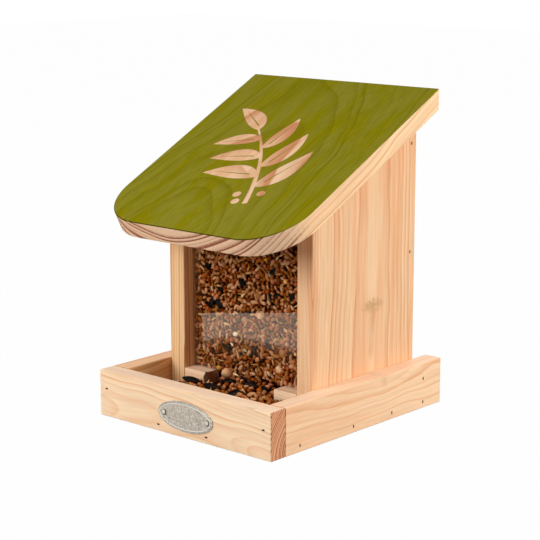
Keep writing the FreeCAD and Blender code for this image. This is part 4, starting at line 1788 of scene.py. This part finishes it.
@dataclass
class Silo(NailedBoards):
    """The silo: two sides, a back, two window blocks and the clear pane."""

    left_side_panel: PineFinish = PineFinish(
        "left_panel_pine", GrainRun.UPRIGHT, pith=(20, -120, 0), lean=(0, 1, 0),
        ring=2.6, wander=1.6, contrast=1.3, sheen=0.0,
        early_wood=paint(243, 204, 156), late_wood=paint(208, 146, 88), blush=paint(234, 184, 130))
    right_side_panel: PineFinish = PineFinish(
        "right_panel_pine", GrainRun.UPRIGHT, pith=(2, 30, 90), lean=(0, -0.5, 0),
        ring=2.3, wander=1.2, contrast=0.8, fibre=0.4, phase=0.45,
        knot=(72.5, 32, 87.5), knot_size=17, knot_bulge=0.8, knot_tint=0.75, knot_narrow=2.2,
        early_wood=paint(241, 200, 157), late_wood=paint(219, 149, 101), blush=paint(236, 181, 135))
    back_panel: PineFinish = PineFinish(
        "back_panel_pine", GrainRun.UPRIGHT, pith=(8, 138, 90), lean=(1.5, 0, 0), wander=2.6)
    left_window_block: PineFinish = PineFinish(
        "left_block_pine", GrainRun.ACROSS, pith=(0, -20, -30), ring=2.4, wander=1.2, gloss=0.25,
        early_wood=paint(253, 222, 186), late_wood=paint(238, 182, 136), blush=paint(248, 208, 168))
    right_window_block: PineFinish = replace(
        left_window_block, name="right_block_pine", pith=(0, -60, -24))

    def dress(self) -> None:
        """Give each board its own pine, and the pane its acrylic."""
        super().dress()
        dress(["window_pane"], AcrylicFinish().material())


@dataclass
class Badge:
    """The oval badge: a thin plate with a bead near its edge, pale on its crest as wear and as a painted
    highlight, in millimetres.
    """

    thickness: float = 0.8
    eased: float = 0.2
    edge_wear: float = 0.1
    flange: float = 1.3
    bead: float = 1.6
    bead_height: float = 0.6
    bead_steps: int = 8
    wear_sharpness: int = 4
    sides: int = 96

    def section(self) -> list[Point3]:
        """Draw the plate's section from the foot of its edge inwards.

        Returns:
            Inset, height and share of pale wear and painted highlight of each point.
        """
        points = [
            (0.0, 0.0, 0.0),
            (0.0, self.thickness - self.eased, self.edge_wear),
            (self.eased, self.thickness, self.edge_wear),
        ]
        for share in steps(0.0, 1.0, self.bead_steps):
            crest = math.sin(math.pi * share)
            inset = self.flange + self.bead * share
            points.append((inset, self.thickness + self.bead_height * crest, crest ** self.wear_sharpness))
        return points

    def build(self, finish: bpy.types.Material) -> None:
        """Build the badge in place of its plain solid.

        Args:
            finish: The metal of the plate.
        """
        low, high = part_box("badge_plate")
        middle = (low + high) / 2
        half = (high - low) / 2
        work = bmesh.new()
        # Wear and painted highlight: the bead's crest and the eased edge are stored paler.
        wear = work.verts.layers.float.new("wear")
        rings = []
        for inset, height, worn in self.section():
            ring = []
            for number in range(self.sides):
                turn = 2 * math.pi * number / self.sides
                across = (half.x - inset * MM) * math.cos(turn)
                above = (half.z - inset * MM) * math.sin(turn)
                point = work.verts.new((middle.x + across, high.y - height * MM, middle.z + above))
                point[wear] = worn
                ring.append(point)
            rings.append(ring)
        for outer, inner in zip(rings, rings[1:]):
            for face in band(work, outer, inner):
                face.smooth = True
        work.faces.new(rings[0])
        work.faces.new(rings[-1])
        bmesh.ops.recalc_face_normals(work, faces=work.faces[:])
        mesh = settled(work, "oval_badge", finish)
        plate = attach(new_piece("oval_badge", mesh), "base")
        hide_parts("badge_plate")
        LOG.info("built %s with %d faces", plate.name, len(mesh.polygons))


@dataclass
class Hardware:
    """Nails, the badge, and the two hinges with their screws."""

    # Painted shadow: how far the dark spot round each nail is set off to one side.
    grime_shift: float = 0.7 * MM
    nails: MetalFinish = MetalFinish(
        "nail_steel", paint(42, 28, 18), paint(22, 14, 9), metallic=0.1, smooth=0.5, rough=0.65, gloss=0.05)
    plate: MetalFinish = MetalFinish(
        "galvanised_plate", paint(212, 203, 190), paint(138, 128, 114),
        metallic=0.35, smooth=0.36, rough=0.55, dent=0.12 * MM)
    badge_nails: MetalFinish = MetalFinish(
        "badge_nail_steel", paint(250, 244, 228), paint(206, 198, 178), metallic=0.3, smooth=0.3, rough=0.4)
    hinges: MetalFinish = MetalFinish(
        "zinc_plate", paint(198, 198, 195), paint(182, 183, 182), metallic=0.9, smooth=0.3, rough=0.38,
        patch=5.0 * MM, dent=0.01 * MM)
    screws: MetalFinish = MetalFinish(
        "screw_steel", paint(172, 166, 152), paint(146, 140, 128), metallic=0.9, smooth=0.3, rough=0.45,
        patch=0.8 * MM)

    def grime_spots(self) -> tuple[Point3, ...]:
        """Find where the painted shadow round the badge's nails falls, set off to one side.

        Returns:
            A place on the plate's front for each nail.
        """
        low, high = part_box("badge_nails")
        head = (high.z - low.z) / 2
        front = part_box("badge_plate")[0].y
        middle = (low.z + high.z) / 2
        return tuple((x + self.grime_shift, front, middle) for x in (low.x + head, high.x - head))

    def dress(self) -> None:
        """Give each kind of hardware its metal, and build the badge."""
        named = list(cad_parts)
        nailed = [name for name in named if name.endswith("_nails") and name != "badge_nails"]
        dress(nailed, self.nails.material())
        Badge().build(replace(self.plate, grime_spots=self.grime_spots()).material())
        dress(["badge_nails"], self.badge_nails.material())
        dress([name for name in named if "hinge" in name and "screws" not in name], self.hinges.material())
        dress([name for name in named if name.endswith("_screws")], self.screws.material())


@dataclass(frozen=True)
class SoftLamp:
    """A soft square lamp that looks at the object, in metres.

    Its level is how bright it makes a white card that faces it, where 1 is white.
    """

    name: str
    place: Point3
    size: float
    level: float
    aim: Point3 = (0.0, 0.0, 0.1)

    def hang(self) -> None:
        """Hang the lamp, which isn't seen through the pane."""
        place, aim = Vector(self.place), Vector(self.aim)
        light = bpy.data.lights.new(self.name, "AREA")
        light.size = self.size
        light.energy = self.level * math.pi ** 2 * (place - aim).length_squared
        lamp = new_piece(self.name, light)
        lamp.location = place
        lamp.rotation_euler = (aim - place).to_track_quat("-Z", "Y").to_euler()
        lamp.visible_transmission = False


@dataclass
class Studio:
    """A pale floor, a white surround, three soft lamps, and a dark card and a glowing warm sheet that paint
    reflections on the pane.

    Places along the card are distances from the feeder's middle, away from it and to its sides.
    """

    floor_size: float = 8.0
    floor_drop: float = 0.2 * MM
    floor_colour: Colour = (0.34, 0.32, 0.3, 1.0)
    floor_glow: float = 0.985
    surround_low: float = 0.0
    surround_high: float = 0.6
    surround_rise: Point2 = (0.0, 0.9)
    lamps: tuple[SoftLamp, ...] = (
        SoftLamp("front_lamp", place=(-0.42, -1.45, 0.62), size=0.8, level=0.735),
        SoftLamp("side_lamp", place=(1.6, 0.55, 0.7), size=1.1, level=0.8),
        SoftLamp("back_lamp", place=(-0.5, 1.5, 0.8), size=1.1, level=0.3),
    )
    card_turn: float = math.radians(41.5)
    card_far: float = 0.362
    card_near: float = 0.1
    card_left: float = 0.075
    card_right: float = 0.4
    card_height: float = 0.6
    sheet_near: float = 0.19
    sheet_colour: Colour = paint(255, 236, 213)
    sheet_glow: float = 1.7

    def build(self) -> None:
        """Build the floor, the light, the card and the sheet."""
        self.floor()
        self.world()
        for lamp in self.lamps:
            lamp.hang()
        self.card()

    def seen(self, wiring: Wiring) -> Socket:
        """Tell what is seen straight, in a mirror or through glass.

        Args:
            wiring: The wiring of a material or the world.

        Returns:
            1 where it is seen, 0 where it only gives light.
        """
        path = wiring.node("ShaderNodeLightPath").outputs
        straight = wiring.math("MAXIMUM", path["Is Camera Ray"], path["Is Glossy Ray"])
        return wiring.math("MAXIMUM", straight, path["Is Transmission Ray"])

    def floor(self) -> None:
        """Lay the pale floor, which keeps a faint shadow."""
        half = self.floor_size / 2
        corners = [(-half, -half), (half, -half), (half, half), (-half, half)]
        mesh = bpy.data.meshes.new("studio_floor")
        mesh.from_pydata([(x, y, -self.floor_drop) for x, y in corners], [], [(0, 1, 2, 3)])
        material, wiring, shader = new_material("studio_floor")
        wiring.feed(shader, {"Base Color": self.floor_colour, "Roughness": 1.0, "Specular IOR Level": 0.0})
        glow = wiring.node("ShaderNodeEmission", {"Color": WHITE, "Strength": 1.0})
        share = wiring.times(self.seen(wiring), self.floor_glow)
        inputs = {0: share, 1: shader.outputs["BSDF"], 2: glow.outputs["Emission"]}
        mixed = wiring.node("ShaderNodeMixShader", inputs)
        wiring.feed(wiring.tree.nodes["Material Output"], {"Surface": mixed.outputs["Shader"]})
        mesh.materials.append(material)
        new_piece("studio_floor", mesh)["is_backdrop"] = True

    def world(self) -> None:
        """Surround the object with light from above, and with white where it is seen."""
        world = bpy.data.worlds.new("studio")
        world.use_nodes = True
        world.node_tree.nodes.clear()
        wiring = Wiring(world.node_tree)
        towards = wiring.node("ShaderNodeTexCoord").outputs["Generated"]
        height = wiring.node("ShaderNodeSeparateXYZ", {0: towards}).outputs["Z"]
        ambient = wiring.spread(
            wiring.fade(height, *self.surround_rise), self.surround_low, self.surround_high)
        strength = wiring.math("MAXIMUM", self.seen(wiring), ambient)
        light = wiring.node("ShaderNodeBackground", {"Color": WHITE, "Strength": strength})
        wiring.node("ShaderNodeOutputWorld", {"Surface": light.outputs["Background"]})
        bpy.context.scene.world = world

    def card(self) -> None:
        """Stand a dark card, with a glowing warm sheet before it, where the pane would mirror the white
        surround, as painted reflections.
        """
        away = Vector((-math.sin(self.card_turn), -math.cos(self.card_turn), 0.0))
        side = Vector((away.y, -away.x, 0.0))
        up = Vector((0, 0, self.card_height))
        far_right = away * self.card_far - side * self.card_right
        far_left = away * self.card_far + side * self.card_left
        near_left = away * self.card_near + side * self.card_left
        points = [far_right, far_left, near_left, far_right + up, far_left + up, near_left + up]
        # Painted reflection: a black card that only mirrors show.
        self.mirrored("dark_card", points, [(0, 1, 4, 3), (1, 2, 5, 4)], BLACK, 0.0)
        drop = Vector((0, 0, self.floor_drop / 2))
        sheet_right = away * self.sheet_near - side * self.card_right
        sheet_left = away * self.sheet_near + side * self.card_left
        corners = [corner - drop for corner in (sheet_right, sheet_left, far_left, far_right)]
        # Painted reflection: a warm sheet that glows, though it is no lamp, and that only mirrors show.
        self.mirrored("warm_sheet", corners, [(0, 1, 2, 3)], self.sheet_colour, self.sheet_glow)

    def mirrored(self, name: str, points: Sequence[Vector], faces: Sequence[Sequence[int]],
                 colour: Colour, glow: float) -> None:
        """Put up a sheet that only shows where something mirrors it.

        Args:
            name: The sheet's name.
            points: Its corners.
            faces: Its faces.
            colour: Its colour.
            glow: How bright it is.
        """
        mesh = bpy.data.meshes.new(name)
        mesh.from_pydata(points, [], faces)
        material, wiring, shader = new_material(name)
        wiring.feed(shader, {
            "Base Color": BLACK,
            "Specular IOR Level": 0.0,
            "Emission Color": colour,
            "Emission Strength": glow,
        })
        mesh.materials.append(material)
        sheet = new_piece(name, mesh)
        sheet.visible_camera = False
        sheet.visible_diffuse = False
        sheet.visible_shadow = False
        sheet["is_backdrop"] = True


@dataclass
class PhotoCamera:
    """The camera, where the photograph was taken from."""

    place: Point3 = (0.82029, -0.92939, 0.37066)
    tilt: float = math.radians(78.115)
    turn: float = math.radians(41.525)
    lens: float = 110.375
    sensor: float = 36.0

    def build(self) -> None:
        """Make the camera and hand it to the scene."""
        data = bpy.data.cameras.new("photo_camera")
        data.lens = self.lens
        data.sensor_width = self.sensor
        camera = new_piece("photo_camera", data)
        camera.location = self.place
        camera.rotation_euler = (self.tilt, 0.0, self.turn)
        bpy.context.scene.camera = camera


def write_sizes() -> None:
    """Gather the CAD model's box and the visual model's box as plain lists."""
    boxes = {"cad": CAD_BOX, "visual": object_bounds()}
    plain = {name: [list(corner) for corner in box] for name, box in boxes.items()}


def main() -> None:
    """Build and dress the feeder, then the studio and the camera."""
    logging.basicConfig(level=logging.INFO, format="%(message)s")
    bpy.context.scene.view_settings.view_transform = "Standard"
    Tray().dress()
    Silo().dress()
    Hardware().dress()
    RoofBoard().build()
    husk = SeedFinish().material()
    SiloSeed().build(SeedScatter("silo_scatter", [kind.silo_share for kind in SEED_KINDS], husk))
    TraySeed().build(SeedScatter("tray_scatter", [kind.tray_share for kind in SEED_KINDS], husk))
    Studio().build()
    PhotoCamera().build()
    write_sizes()


if __name__ == "__main__":
    main()
